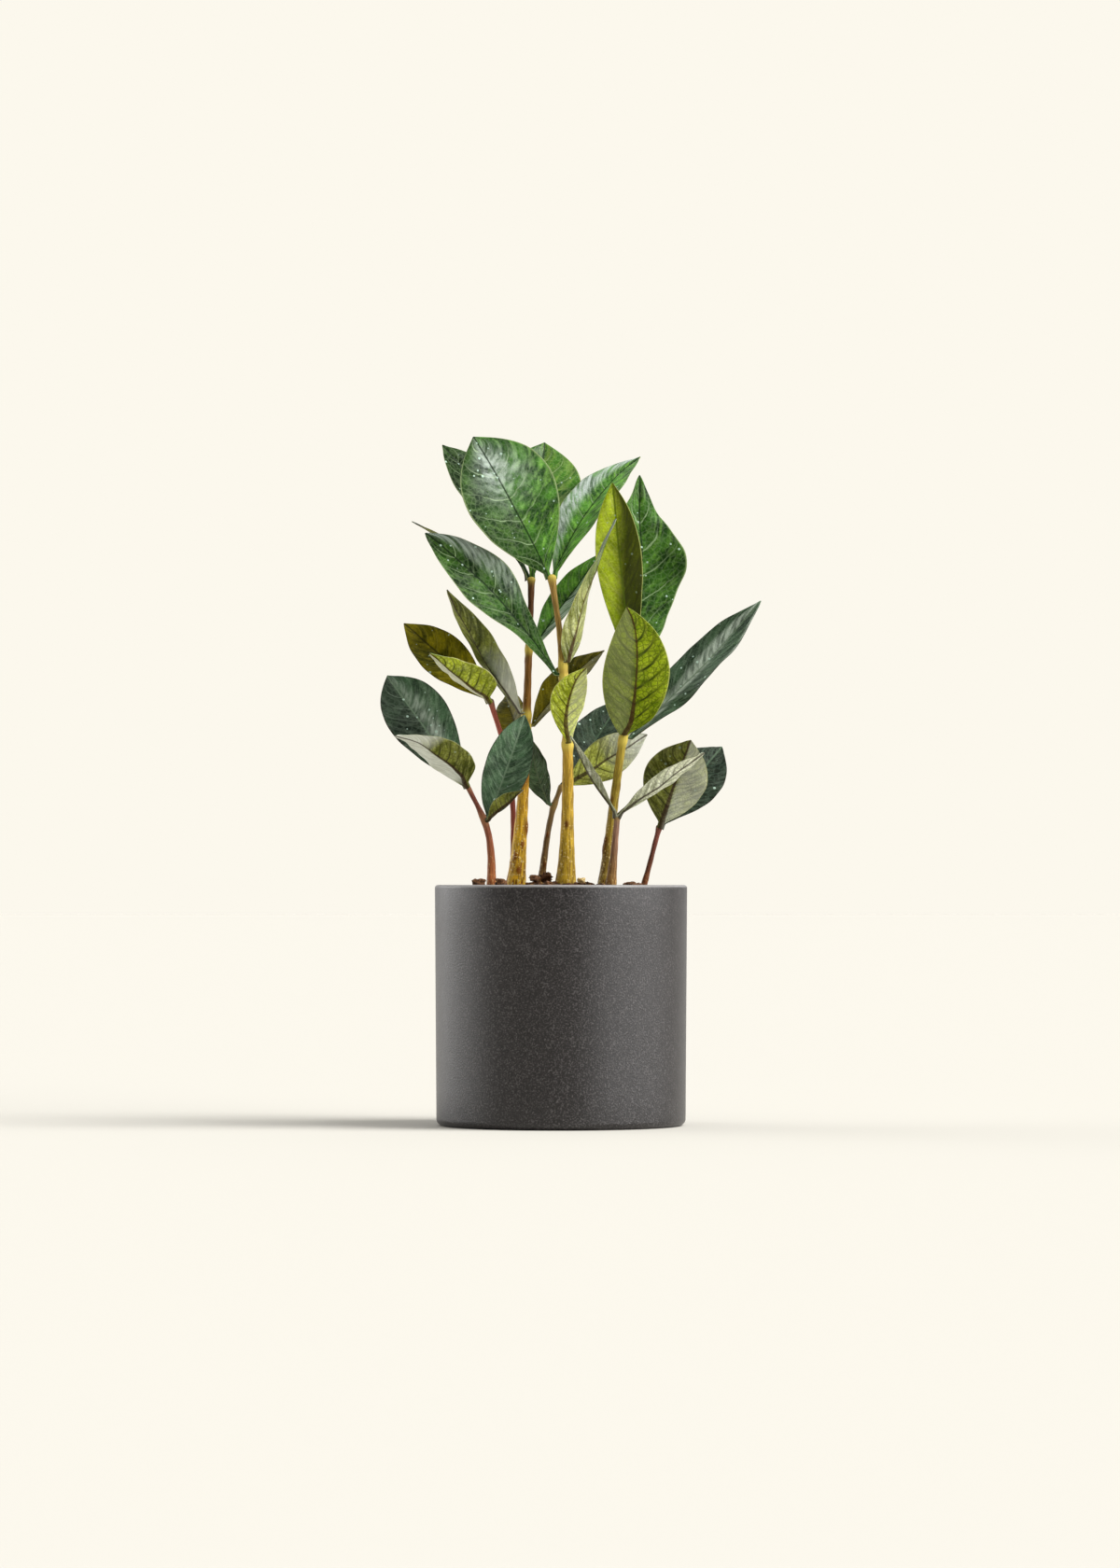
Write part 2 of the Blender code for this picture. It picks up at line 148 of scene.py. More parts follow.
def finish_surface(
    tree: bpy.types.NodeTree,
    inputs: dict,
    bump: Socket | None,
    depth: float,
) -> None:
    """Closes a material with its Principled shader, bump and output.

    Args:
        tree: The material's node tree.
        inputs: What the Principled shader's inputs are set or linked to.
        bump: The height that the surface's bump follows, or None.
        depth: The bump's depth in metres for a height of 1.
    """
    if bump is not None:
        raised = put(tree, "ShaderNodeBump", {"Height": bump, "Distance": depth, "Strength": 1.0})
        inputs = {**inputs, "Normal": raised.outputs["Normal"]}
    shader = put(tree, "ShaderNodeBsdfPrincipled", inputs)
    put(tree, "ShaderNodeOutputMaterial", {"Surface": shader.outputs["BSDF"]})


# Finishes


def layered(
    tree: bpy.types.NodeTree,
    colour: Socket | tuple[float, ...],
    layers: tuple[tuple[Socket, str], ...],
) -> Socket:
    """Lays colours over a colour, one after the other.

    Args:
        tree: The material's node tree.
        colour: What lies underneath.
        layers: How far each layer covers and its hex colour, from the lowest up.

    Returns:
        The colour on top.
    """
    for cover, tint in layers:
        colour = put(
            tree, "ShaderNodeMix", {0: cover, 6: colour, 7: linear(tint)}, data_type="RGBA"
        ).outputs[2]
    return colour


def set_stops(ramp: bpy.types.ColorRamp, stops: tuple[tuple[float, str], ...]) -> None:
    """Gives a colour ramp its colours.

    Args:
        ramp: A new ramp, with its first two stops.
        stops: Each colour's place on the ramp and its hex colour, from the lowest up.
    """
    ramp.elements[0].position = stops[0][0]
    ramp.elements[1].position = stops[-1][0]
    for place, _ in stops[1:-1]:
        ramp.elements.new(place)
    for element, (_, tint) in zip(ramp.elements, stops):
        element.color = linear(tint)


@dataclass(frozen=True)
class Blade:
    """What a leaf material reads: the blade's own coordinates and the mottlings laid on them."""

    tree: bpy.types.NodeTree
    flat: Socket
    count: Socket
    across: Socket
    bloom_sheen_and_shade: Socket
    from_rib: Socket
    forward: Socket
    half_shade: Socket
    broad: Socket
    fine: Socket
    grain: Socket

    @classmethod
    def read(cls, tree: bpy.types.NodeTree) -> Blade:
        """Reads the blade's attributes and lays three mottlings on them.

        The point attribute blade holds the lateral vein count, the place across the blade from -1
        to 1 and the cover colour's strength: wax bloom with painted sheen, on the young skin painted
        shade. blade_mm holds the place on the flattened blade in millimetres, and blade_shade how much
        lighter or darker each half is painted, partly its own tone and partly the light and shade on it.

        Args:
            tree: The material's node tree.

        Returns:
            The blade's coordinates and mottlings.
        """
        blade = put(tree, "ShaderNodeAttribute", attribute_name="blade").outputs["Vector"]
        flat = put(tree, "ShaderNodeAttribute", attribute_name="blade_mm").outputs["Vector"]
        shade = put(tree, "ShaderNodeAttribute", attribute_name="blade_shade").outputs["Vector"]
        count, place_across, bloom_sheen_and_shade = put(tree, "ShaderNodeSeparateXYZ", {0: blade}).outputs[:3]
        sideways, forward, own = put(tree, "ShaderNodeSeparateXYZ", {0: flat}).outputs[:3]
        across = put(tree, "ShaderNodeMath", {0: place_across}, operation="ABSOLUTE").outputs[0]
        from_rib = put(tree, "ShaderNodeMath", {0: sideways}, operation="ABSOLUTE").outputs[0]
        half_shade = put(tree, "ShaderNodeSeparateXYZ", {0: shade}).outputs[0]
        # Mottling 12 mm and 0.9 mm across, as chlorophyll gathers between the veins, and streaks
        # along the lateral veins, a fifth of the gap between two of them wide.
        broad, grain = (
            put(tree, "ShaderNodeTexNoise", {"Vector": flat, "Scale": scale, "Detail": 3.0}).outputs[0]
            for scale in (0.08, 1.1)
        )
        steps = put(tree, "ShaderNodeMath", {0: count, 1: 4.5}, operation="MULTIPLY").outputs[0]
        drift = put(tree, "ShaderNodeMath", {0: sideways, 1: 0.24}, operation="MULTIPLY").outputs[0]
        streaks = put(tree, "ShaderNodeCombineXYZ", {0: steps, 1: drift, 2: own}).outputs[0]
        fine = put(
            tree, "ShaderNodeTexNoise", {"Vector": streaks, "Scale": 1.0, "Detail": 4.0}
        ).outputs[0]
        return cls(tree, flat, count, across, bloom_sheen_and_shade, from_rib, forward, half_shade, broad, fine, grain)


@dataclass(frozen=True)
class Cuticle:
    """The waxy skin of one side of a leaflet, living tissue under a cuticle that nothing has worn.

    The eye sees a broad soft gloss over mottled green, pale or dark veins and a fine rim line.
    body, deep and light are the tissue's colours. The cover colour lies over part of the blade:
    on most skins a silvery wax bloom with painted sheen, the reflection of the light on the wax,
    on the young skin painted shade and on the two-toned underside a second tone. gloss tints the
    reflections. The cover's floor is how little of it is left where it is most broken up, and
    rib_foot how many millimetres stouter the midrib is at the base.
    """

    name: str
    body: str
    deep: str
    light: str
    vein: str
    rib: str
    rim: str
    bloom_sheen_and_shade: str
    vein_strength: float
    net_strength: float
    speck_strength: float
    roughness: float
    coat: float
    vein_width: float
    gloss: str = "#e6f5dc"
    shine: float = 0.3
    bloom_sheen_and_shade_floor: float = 0.6
    rib_foot: float = 0.0
    dust: str = "#b9d3c2"
    relief: float = 0.42 * MM

    def material(self) -> bpy.types.Material:
        """Builds the material, from the mottled tissue up to the rim.

        Returns:
            The finished material.
        """
        made, tree = blank_material(self.name)
        blade = Blade.read(tree)
        off_vein = self.off_vein(blade)
        drawn = self.drawn_veins(blade, off_vein)
        colour = layered(
            tree,
            self.mottled(blade, off_vein),
            (
                (drawn, self.vein),
                # Wax bloom with painted sheen, the reflection of the light on the wax; on the young skin
                # the cover is painted shade.
                (self.worn_bloom_sheen_and_shade(blade), self.bloom_sheen_and_shade),
                (self.midrib(blade), self.rib),
                (self.specks(blade), self.dust),
                (self.thin_rim(blade), self.rim),
            ),
        )
        # Where the wax is rubbed the gloss breaks up into patches.
        patchy = put(tree, "ShaderNodeMath", {0: blade.fine, 1: blade.broad}, operation="ADD").outputs[0]
        smoothest, roughest = self.roughness - 0.12, self.roughness + 0.2
        rough = put(
            tree, "ShaderNodeMapRange", {0: patchy, 1: 0.75, 2: 1.2, 3: smoothest, 4: roughest}
        ).outputs[0]
        dullest, brightest = 0.3 * self.shine, 1.4 * self.shine
        shine = put(
            tree, "ShaderNodeMapRange", {0: blade.fine, 1: 0.4, 2: 0.64, 3: dullest, 4: brightest}
        ).outputs[0]
        # The veins are sunk, and the cells stand up between them.
        cells = put(tree, "ShaderNodeMath", {0: blade.grain, 1: 0.6}, operation="MULTIPLY").outputs[0]
        sunk = put(tree, "ShaderNodeMath", {0: drawn, 1: -0.45}, operation="MULTIPLY").outputs[0]
        height = put(tree, "ShaderNodeMath", {0: sunk, 1: cells}, operation="ADD").outputs[0]
        finish_surface(
            tree,
            {
                "Base Color": colour,
                "Roughness": rough,
                "IOR": 1.42,
                "Specular IOR Level": shine,
                "Specular Tint": linear(self.gloss),
                "Coat Weight": self.coat,
                "Coat Roughness": 0.2,
                "Coat IOR": 1.45,
            },
            height,
            self.relief,
        )
        return made

    def off_vein(self, blade: Blade) -> Socket:
        """How far a place is from a lateral vein. The veins wander a little.

        Args:
            blade: The blade's coordinates and mottlings.

        Returns:
            The gap, 0 on a vein and 0.5 halfway between two.
        """
        tree = blade.tree
        wander = put(tree, "ShaderNodeMath", {0: blade.fine, 1: 0.25}, operation="MULTIPLY").outputs[0]
        wander = put(tree, "ShaderNodeMath", {0: wander, 1: blade.broad}, operation="ADD").outputs[0]
        wander = put(tree, "ShaderNodeMath", {0: wander, 1: 0.5}, operation="MULTIPLY").outputs[0]
        count = put(tree, "ShaderNodeMath", {0: blade.count, 1: wander}, operation="ADD").outputs[0]
        return put(tree, "ShaderNodeMath", {0: count, 1: 0.5}, operation="PINGPONG").outputs[0]

    def mottled(self, blade: Blade, off_vein: Socket) -> Socket:
        """The tissue's colour: mottled, each half painted lighter or darker, partly for its own tone and
        partly for the light and shade on it, and painted lighter between the veins.

        Args:
            blade: The blade's coordinates and mottlings.
            off_vein: How far a place is from a lateral vein.

        Returns:
            The colour.
        """
        tree = blade.tree
        spread = put(
            tree,
            "ShaderNodeMapRange",
            {0: blade.broad, 1: 0.38, 2: 0.62, 3: 0.0, 4: 1.0},
            interpolation_type="SMOOTHSTEP",
        ).outputs[0]
        lift = put(tree, "ShaderNodeMapRange", {0: blade.fine, 1: 0.46, 2: 0.7, 3: 0.0, 4: 0.52}).outputs[0]
        colour = layered(tree, linear(self.deep), ((spread, self.body), (lift, self.light)))
        tone = put(
            tree, "ShaderNodeMapRange", {0: blade.grain, 1: 0.32, 2: 0.68, 3: 0.78, 4: 1.24}
        ).outputs[0]
        # Each half is painted lighter or darker: partly its own tone, partly the light and shade on it.
        tone = put(tree, "ShaderNodeMath", {0: tone, 1: blade.half_shade}, operation="MULTIPLY").outputs[0]
        colour = put(
            tree, "ShaderNodeVectorMath", {0: colour, "Scale": tone}, operation="SCALE"
        ).outputs[0]
        # Between two veins the blade is puckered upward, and its colour is lighter there and darker along
        # the sunk veins: partly thinner tissue, partly painted light and shade of the quilting.
        quilt_shading = put(tree, "ShaderNodeMapRange", {0: off_vein, 1: 0.0, 2: 0.4, 3: 0.82, 4: 1.14}).outputs[0]
        return put(
            tree, "ShaderNodeVectorMath", {0: colour, "Scale": quilt_shading}, operation="SCALE"
        ).outputs[0]

    def drawn_veins(self, blade: Blade, off_vein: Socket) -> Socket:
        """How strongly the lateral veins and the net of small ones are drawn.

        Args:
            blade: The blade's coordinates and mottlings.
            off_vein: How far a place is from a lateral vein.

        Returns:
            The strength, 0 to 1.
        """
        tree = blade.tree
        vein = put(
            tree,
            "ShaderNodeMapRange",
            {0: off_vein, 1: 0.3 * self.vein_width, 2: self.vein_width, 3: 1.0, 4: 0.0},
            interpolation_type="SMOOTHSTEP",
        ).outputs[0]
        # A vein fades towards the edge, and shows here and there along its run.
        fading = put(
            tree, "ShaderNodeMapRange", {0: blade.across, 1: 0.4, 2: 0.95, 3: 1.0, 4: 0.2}
        ).outputs[0]
        shown = put(
            tree, "ShaderNodeMapRange", {0: blade.broad, 1: 0.34, 2: 0.56, 3: 0.25, 4: 1.0}
        ).outputs[0]
        for share in (fading, shown, self.vein_strength):
            vein = put(tree, "ShaderNodeMath", {0: vein, 1: share}, operation="MULTIPLY").outputs[0]
        # The net of small veins: cells about 2.8 mm across.
        cells = put(
            tree,
            "ShaderNodeTexVoronoi",
            {"Vector": blade.flat, "Scale": 0.36, "Randomness": 0.9},
            feature="DISTANCE_TO_EDGE",
        ).outputs[0]
        net = put(tree, "ShaderNodeMapRange", {0: cells, 1: 0.03, 2: 0.15, 3: 1.0, 4: 0.0}).outputs[0]
        net = put(tree, "ShaderNodeMath", {0: net, 1: self.net_strength}, operation="MULTIPLY").outputs[0]
        return put(tree, "ShaderNodeMath", {0: vein, 1: net}, operation="MAXIMUM").outputs[0]

    def worn_bloom_sheen_and_shade(self, blade: Blade) -> Socket:
        """The cover colour that the blade carries, broken up along its streaks: wax bloom with painted
        sheen, and on the young skin painted shade.

        Args:
            blade: The blade's coordinates and mottlings.

        Returns:
            How far it covers, 0 to 1.
        """
        tree = blade.tree
        wear_and_sheen = put(
            tree, "ShaderNodeMapRange", {0: blade.fine, 1: 0.36, 2: 0.62, 3: self.bloom_sheen_and_shade_floor, 4: 1.0}
        ).outputs[0]
        return put(tree, "ShaderNodeMath", {0: blade.bloom_sheen_and_shade, 1: wear_and_sheen}, operation="MULTIPLY").outputs[0]

    def midrib(self, blade: Blade) -> Socket:
        """The midrib: a line half a millimetre wide each side, stouter over its first 30 mm.

        Args:
            blade: The blade's coordinates and mottlings.

        Returns:
            How far its colour covers, 0 to 1.
        """
        tree = blade.tree
        stout = put(
            tree, "ShaderNodeMapRange", {0: blade.forward, 1: 0.0, 2: 30.0, 3: self.rib_foot, 4: 0.0}
        ).outputs[0]
        gap = put(tree, "ShaderNodeMath", {0: blade.from_rib, 1: stout}, operation="SUBTRACT").outputs[0]
        return put(
            tree,
            "ShaderNodeMapRange",
            {0: gap, 1: 0.2, 2: 0.65, 3: 0.85, 4: 0.0},
            interpolation_type="SMOOTHSTEP",
        ).outputs[0]

    def specks(self, blade: Blade) -> Socket:
        """Salts and dust dried on the wax: specks up to 1.6 mm across, about 4 mm apart.

        Args:
            blade: The blade's coordinates and mottlings.

        Returns:
            How far their colour covers, 0 to 1.
        """
        tree = blade.tree
        dots = put(tree, "ShaderNodeTexVoronoi", {"Vector": blade.flat, "Scale": 0.27}, feature="F1")
        chosen = put(tree, "ShaderNodeSeparateColor", {0: dots.outputs["Color"]}).outputs[0]
        width = put(tree, "ShaderNodeMapRange", {0: chosen, 1: 0.3, 2: 1.0, 3: 0.0, 4: 0.22}).outputs[0]
        inside = put(
            tree, "ShaderNodeMath", {0: width, 1: dots.outputs[0]}, operation="SUBTRACT"
        ).outputs[0]
        dot = put(tree, "ShaderNodeMapRange", {0: inside, 1: 0.0, 2: 0.06, 3: 0.0, 4: 1.0}).outputs[0]
        return put(
            tree, "ShaderNodeMath", {0: dot, 1: self.speck_strength}, operation="MULTIPLY"
        ).outputs[0]

    def thin_rim(self, blade: Blade) -> Socket:
        """The rim: the outermost few hundredths of each half, thin and see-through.

        Args:
            blade: The blade's coordinates and mottlings.

        Returns:
            How far its colour covers, 0 to 1.
        """
        return put(
            blade.tree,
            "ShaderNodeMapRange",
            {0: blade.across, 1: 0.955, 2: 0.99, 3: 0.0, 4: 0.8},
            interpolation_type="SMOOTHSTEP",
        ).outputs[0]


@dataclass(frozen=True)
class Rind:
    """The rind of a ZZ stem: fleshy, satin and streaked, with corky flecks where it has aged.

    It gives an upright satin gleam, a ring of another tint at each joint and brown where it is
    scabbed. A scab is its height above the mix in millimetres, its turn from the right in degrees
    and its size in millimetres. A corky rind has small scabs all over as well.
    """

    name: str
    foot: str
    middle: str
    top: str
    joint: str = "#dcc65a"
    cork: str = "#5e3510"
    dust: str = "#e9d48a"
    gloss: str = "#f0d890"
    roughness: float = 0.46
    flecks: float = 0.55
    corky: bool = False
    scabs: tuple[tuple[float, float, float], ...] = ()
    relief: float = 0.3 * MM

    def material(self) -> bpy.types.Material:
        """Builds the material from the stem's own coordinates.

        The point attribute stalk holds the share of the height, the joint's strength and the
        scab's strength. stalk_mm holds the place round and along the stem in millimetres.

        Returns:
            The finished material.
        """
        made, tree = blank_material(self.name)
        stalk = put(tree, "ShaderNodeAttribute", attribute_name="stalk").outputs["Vector"]
        flat = put(tree, "ShaderNodeAttribute", attribute_name="stalk_mm").outputs["Vector"]
        share, joint, scab = put(tree, "ShaderNodeSeparateXYZ", {0: stalk}).outputs[:3]
        # Streaks 0.7 mm wide and 12 mm long, as the fibres under the rind run.
        fibres = put(tree, "ShaderNodeMapping", {"Vector": flat, "Scale": (1.0, 0.08, 1.0)}).outputs[0]
        streak = put(tree, "ShaderNodeTexNoise", {"Vector": fibres, "Scale": 1.4, "Detail": 3.0}).outputs[0]
        tone = put(tree, "ShaderNodeMapRange", {0: streak, 1: 0.32, 2: 0.68, 3: 0.55, 4: 1.4}).outputs[0]
        rise = put(tree, "ShaderNodeValToRGB", {0: share})
        set_stops(rise.color_ramp, ((0.12, self.foot), (0.5, self.middle), (0.85, self.top)))
        flesh = put(
            tree, "ShaderNodeVectorMath", {0: rise.outputs[0], "Scale": tone}, operation="SCALE"
        ).outputs[0]
        # Flecks of cork near 1.5 mm and grains of the mix near 1 mm, both denser low down.
        low = put(tree, "ShaderNodeMapRange", {0: share, 1: 0.0, 2: 0.7, 3: 0.1, 4: -0.08}).outputs[0]
        fleck = self.scattered(tree, fibres, 1.9, 5.0, low, (0.58, 0.68))
        moved = put(tree, "ShaderNodeMapping", {"Vector": flat, "Location": (31.0, 7.0, 3.0)}).outputs[0]
        grain = self.scattered(tree, moved, 0.9, 3.0, low, (0.66, 0.72))
        cork = put(tree, "ShaderNodeMath", {0: fleck, 1: scab}, operation="MAXIMUM").outputs[0]
        joint = put(tree, "ShaderNodeMath", {0: joint, 1: 0.9}, operation="MULTIPLY").outputs[0]
        colour = layered(tree, flesh, ((joint, self.joint), (cork, self.cork), (grain, self.dust)))
        height = put(tree, "ShaderNodeMath", {0: streak, 1: cork}, operation="ADD").outputs[0]
        finish_surface(
            tree,
            {
                "Base Color": colour,
                "Roughness": self.roughness,
                "IOR": 1.42,
                "Specular IOR Level": 0.3,
                "Specular Tint": linear(self.gloss),
                "Coat Weight": 0.06,
                "Coat Roughness": 0.3,
            },
            height,
            self.relief,
        )
        return made

    def scattered(
        self,
        tree: bpy.types.NodeTree,
        place: Socket,
        scale: float,
        detail: float,
        extra: Socket,
        span: tuple[float, float],
    ) -> Socket:
        """Patches cut out of a noise.

        Args:
            tree: The material's node tree.
            place: The noise's coordinates.
            scale: Patches to the millimetre.
            detail: The noise's detail.
            extra: What is added to the noise, for more patches in some places.
            span: The values over which a patch sets in.

        Returns:
            How strongly a patch covers a place.
        """
        patch = put(
            tree, "ShaderNodeTexNoise", {"Vector": place, "Scale": scale, "Detail": detail}
        ).outputs[0]
        patch = put(tree, "ShaderNodeMath", {0: patch, 1: extra}, operation="ADD").outputs[0]
        return put(
            tree, "ShaderNodeMapRange", {0: patch, 1: span[0], 2: span[1], 3: 0.0, 4: self.flecks}
        ).outputs[0]


@dataclass(frozen=True)
class StonewareGlaze:
    """Charcoal stoneware under a dry matte glaze, thrown straight-sided and fired with iron specks.

    Its fine grit scatters the light, so it shows no sharp reflection, only broad soft bands.
    """

    name: str = "matte_charcoal_stoneware"
    body: str = "#1e1a1a"
    pale: str = "#585454"
    dark: str = "#090707"
    thin_glaze_and_highlight: str = "#b4b1af"
    roughness: float = 0.38
    relief: float = 0.12 * MM

    def material(self, rim: float) -> bpy.types.Material:
        """Builds the glaze: 0.8 mm grit, 6 mm clouding and a bump that the grit raises.

        Args:
            rim: The height of the pot's rim, painted paler: partly glaze run thin, partly a painted
                highlight where the rounded rim catches the light.

        Returns:
            The finished material.
        """
        made, tree = blank_material(self.name)
        spot = put(tree, "ShaderNodeTexCoord").outputs["Object"]
        grit = put(tree, "ShaderNodeTexNoise", {"Vector": spot, "Scale": 1300.0, "Detail": 2.0}).outputs[0]
        cloud = put(tree, "ShaderNodeTexNoise", {"Vector": spot, "Scale": 160.0, "Detail": 4.0}).outputs[0]
        mixed = put(tree, "ShaderNodeMath", {0: cloud, 1: 0.12}, operation="MULTIPLY").outputs[0]
        mixed = put(tree, "ShaderNodeMath", {0: grit, 1: mixed}, operation="ADD").outputs[0]
        # Iron-dark pits, then the glaze itself, then pale grit.
        tone = put(tree, "ShaderNodeValToRGB", {0: mixed})
        set_stops(tone.color_ramp, ((0.3, self.dark), (0.56, self.body), (0.82, self.pale)))
        smoothest, roughest = self.roughness - 0.08, self.roughness + 0.1
        rough = put(
            tree, "ShaderNodeMapRange", {0: grit, 1: 0.3, 2: 0.7, 3: smoothest, 4: roughest}
        ).outputs[0]
        # The rim is painted paler: partly glaze run thin over it, partly a painted highlight where its
        # rounding catches the light.
        level = put(tree, "ShaderNodeSeparateXYZ", {0: spot}).outputs[2]
        wear_and_sheen = put(
            tree, "ShaderNodeMapRange", {0: level, 1: rim - 1.6 * MM, 2: rim - 0.5 * MM, 3: 0.0, 4: 0.6}
        ).outputs[0]
        colour = put(
            tree, "ShaderNodeMix", {0: wear_and_sheen, 6: tone.outputs[0], 7: linear(self.thin_glaze_and_highlight)}, data_type="RGBA"
        ).outputs[2]
        finish_surface(
            tree, {"Base Color": colour, "Roughness": rough, "IOR": 1.52}, grit, self.relief
        )
        return made


@dataclass(frozen=True)
class Mulch:
    """Loose plant matter, such as pine bark, coir or a husk: dry, fibrous and without gloss."""

    name: str
    body: str
    pale: str
    dark: str
    grain_mm: float
    roughness: float = 0.9
    relief: float = 0.5 * MM

    def material(self) -> bpy.types.Material:
        """Builds the matter from two noises, one grain and seven grains wide.

        Returns:
            The finished material.
        """
        made, tree = blank_material(self.name)
        spot = put(tree, "ShaderNodeTexCoord").outputs["Object"]
        fine = 1 / (self.grain_mm * MM)
        grain, patch = (
            put(tree, "ShaderNodeTexNoise", {"Vector": spot, "Scale": scale, "Detail": detail}).outputs[0]
            for scale, detail in ((fine, 6.0), (fine / 7, 2.0))
        )
        both = put(tree, "ShaderNodeMath", {0: grain, 1: patch}, operation="ADD").outputs[0]
        spread = put(tree, "ShaderNodeMapRange", {0: both, 1: 0.6, 2: 1.4, 3: 0.0, 4: 1.0}).outputs[0]
        # Dark in the gaps, pale where the fibres have torn, and its own colour where they are whole.
        tone = put(tree, "ShaderNodeValToRGB", {0: spread})
        set_stops(tone.color_ramp, ((0.25, self.dark), (0.5, self.pale), (0.78, self.body)))
        finish_surface(
            tree, {"Base Color": tone.outputs[0], "Roughness": self.roughness}, grain, self.relief
        )
        return made


class Tone(Enum):
    """The kinds of leaflet skin, named for age and side, and two of them for the shade they are
    painted in.
    """

    MATURE = Cuticle(
        "mature_green_cuticle", "#34591e", "#183011", "#618d31", "#a9c293", "#12220f", "#90a070", "#c6d2ca",
        0.55, 0.1, 0.95, 0.32, 0.03, 0.045, shine=0.12, bloom_sheen_and_shade_floor=0.12,
    )
    BRIGHT = Cuticle(
        "bright_green_cuticle", "#3f701d", "#1c4514", "#86a838", "#a9bf80", "#1c3018", "#93a56a", "#c2cdbf",
        0.5, 0.12, 0.8, 0.36, 0.12, 0.05, shine=0.3, bloom_sheen_and_shade_floor=0.2,
    )
    # The next two skins are darker, painted for leaflets that stand in shade.
    SHADED = Cuticle(
        "shaded_grey_green_cuticle", "#2f432e", "#1c2a1c", "#52664e", "#8a9f88", "#6b7f66", "#2a1d16",
        "#bcc8b8", 0.4, 0.08, 0.8, 0.38, 0.1, 0.05, shine=0.35, bloom_sheen_and_shade_floor=0.25,
    )
    DEEP_SHADED = Cuticle(
        "deep_shaded_cuticle", "#1d291b", "#0f180f", "#3a4836", "#6f8f78", "#4a5e48", "#2a1d16",
        "#8fa395", 0.3, 0.08, 0.8, 0.5, 0.0, 0.05, shine=0.4, bloom_sheen_and_shade_floor=0.3,
    )
    OLIVE = Cuticle(
        "olive_cuticle", "#5a5c12", "#303408", "#86841e", "#8b8f3c", "#2c2a10", "#2c2012", "#a3a788",
        0.4, 0.15, 0.65, 0.42, 0.08, 0.05, "#e4e690", shine=0.35,
    )
    BRONZE = Cuticle(
        "bronze_cuticle", "#6a6206", "#3a3a04", "#9a8c14", "#85803a", "#33300e", "#1f1a0c", "#8f8f70",
        0.3, 0.12, 0.9, 0.45, 0.04, 0.05, "#dcd860", shine=0.35,
    )
    # The young skin's cover colour, dark olive, is painted shade, laid over the base and the right half of
    # the blade.
    FRESH = Cuticle(
        "young_green_cuticle", "#96a820", "#768812", "#b8c240", "#c3cb70", "#566a12", "#c2c878", "#333a0a",
        0.35, 0.15, 0.3, 0.38, 0.12, 0.05, "#e6ec90", shine=0.3, bloom_sheen_and_shade_floor=0.8,
    )
    # The next two undersides are yellow-green as young tissue is, and painted brighter still for the light
    # that shines through them from behind.
    FRESH_BACKLIT_UNDER = Cuticle(
        "young_backlit_underside", "#94a91a", "#6a8210", "#bcc83a", "#26330a", "#43241a", "#b9bf68", "#a3ac78",
        0.95, 0.5, 0.0, 0.44, 0.06, 0.15, "#e4ea80", shine=0.4, bloom_sheen_and_shade_floor=0.7, rib_foot=1.1,
    )
    FADED_BACKLIT_UNDER = Cuticle(
        "fading_backlit_underside", "#aab634", "#869222", "#ced47c", "#343a0c", "#43241a", "#c9c88a", "#dcdbc4",
        0.85, 0.4, 0.0, 0.46, 0.06, 0.13, "#ecea9c", shine=0.4, bloom_sheen_and_shade_floor=0.7, rib_foot=0.8,
    )
    OLIVE_UNDER = Cuticle(
        "olive_underside", "#707630", "#464d18", "#a2a65c", "#2b2911", "#33201a", "#8d9064", "#d6dace",
        0.8, 0.35, 0.25, 0.44, 0.08, 0.1, "#ecebb4", shine=0.4, bloom_sheen_and_shade_floor=0.7, rib_foot=0.8,
    )
    TWO_TONE_UNDER = Cuticle(
        "two_toned_underside", "#949858", "#6c7234", "#ced0ac", "#4a4a1c", "#43241a", "#c9c88a", "#4a6b52",
        0.7, 0.25, 0.2, 0.42, 0.08, 0.08, "#ecebc4", shine=0.5, bloom_sheen_and_shade_floor=0.85, rib_foot=0.6,
    )
    SILVER_UNDER = Cuticle(
        "silvery_underside", "#c0c4aa", "#8f9672", "#e0e2d4", "#56533a", "#35271c", "#9a9c80", "#e6e8de",
        0.6, 0.3, 0.1, 0.46, 0.08, 0.08, shine=0.5, bloom_sheen_and_shade_floor=0.6, rib_foot=0.6,
    )


class BloomSheenAndShade(Enum):
    """Where a leaflet's skin carries its cover colour: mostly silvery wax bloom with painted sheen,
    the reflection of the light; on the young skin painted shade; on the two-toned underside a
    second tone.
    """

    NONE = "none"
    LEFT_HALF = "left half"
    RIGHT_HALF = "right half"
    TIP = "tip"
    # Painted reflection: broad bands of silvery sheen along the blade.
    BANDS = "bands"
    # A painted highlight: a whitish glare patch where the light strikes the blade's crest.
    CREST = "crest"
    SHADED_HALF = "shaded half"
    FOOT = "foot"
    LEFT_EDGE = "left edge"
    RIGHT_TIP = "right half near the tip"
    MIDRIB = "along the midrib"
    RIGHT_AND_TIP = "right half and the whole tip"


@dataclass(frozen=True)
class Dress:
    """How one leaflet is dressed: its skins, its wax bloom and painted sheen, and how much lighter or
    darker its left and right halves are painted, partly for their own tone and partly for the light
    and shade on each.
    """

    upper: Tone
    under: Tone
    bloom_sheen_and_shade: BloomSheenAndShade = BloomSheenAndShade.NONE
    bloom_sheen_and_shade_strength: float = 0.0
    shade: tuple[float, float] = (1.0, 1.0)
    veins: int = 8
    waviness: float = 1.0
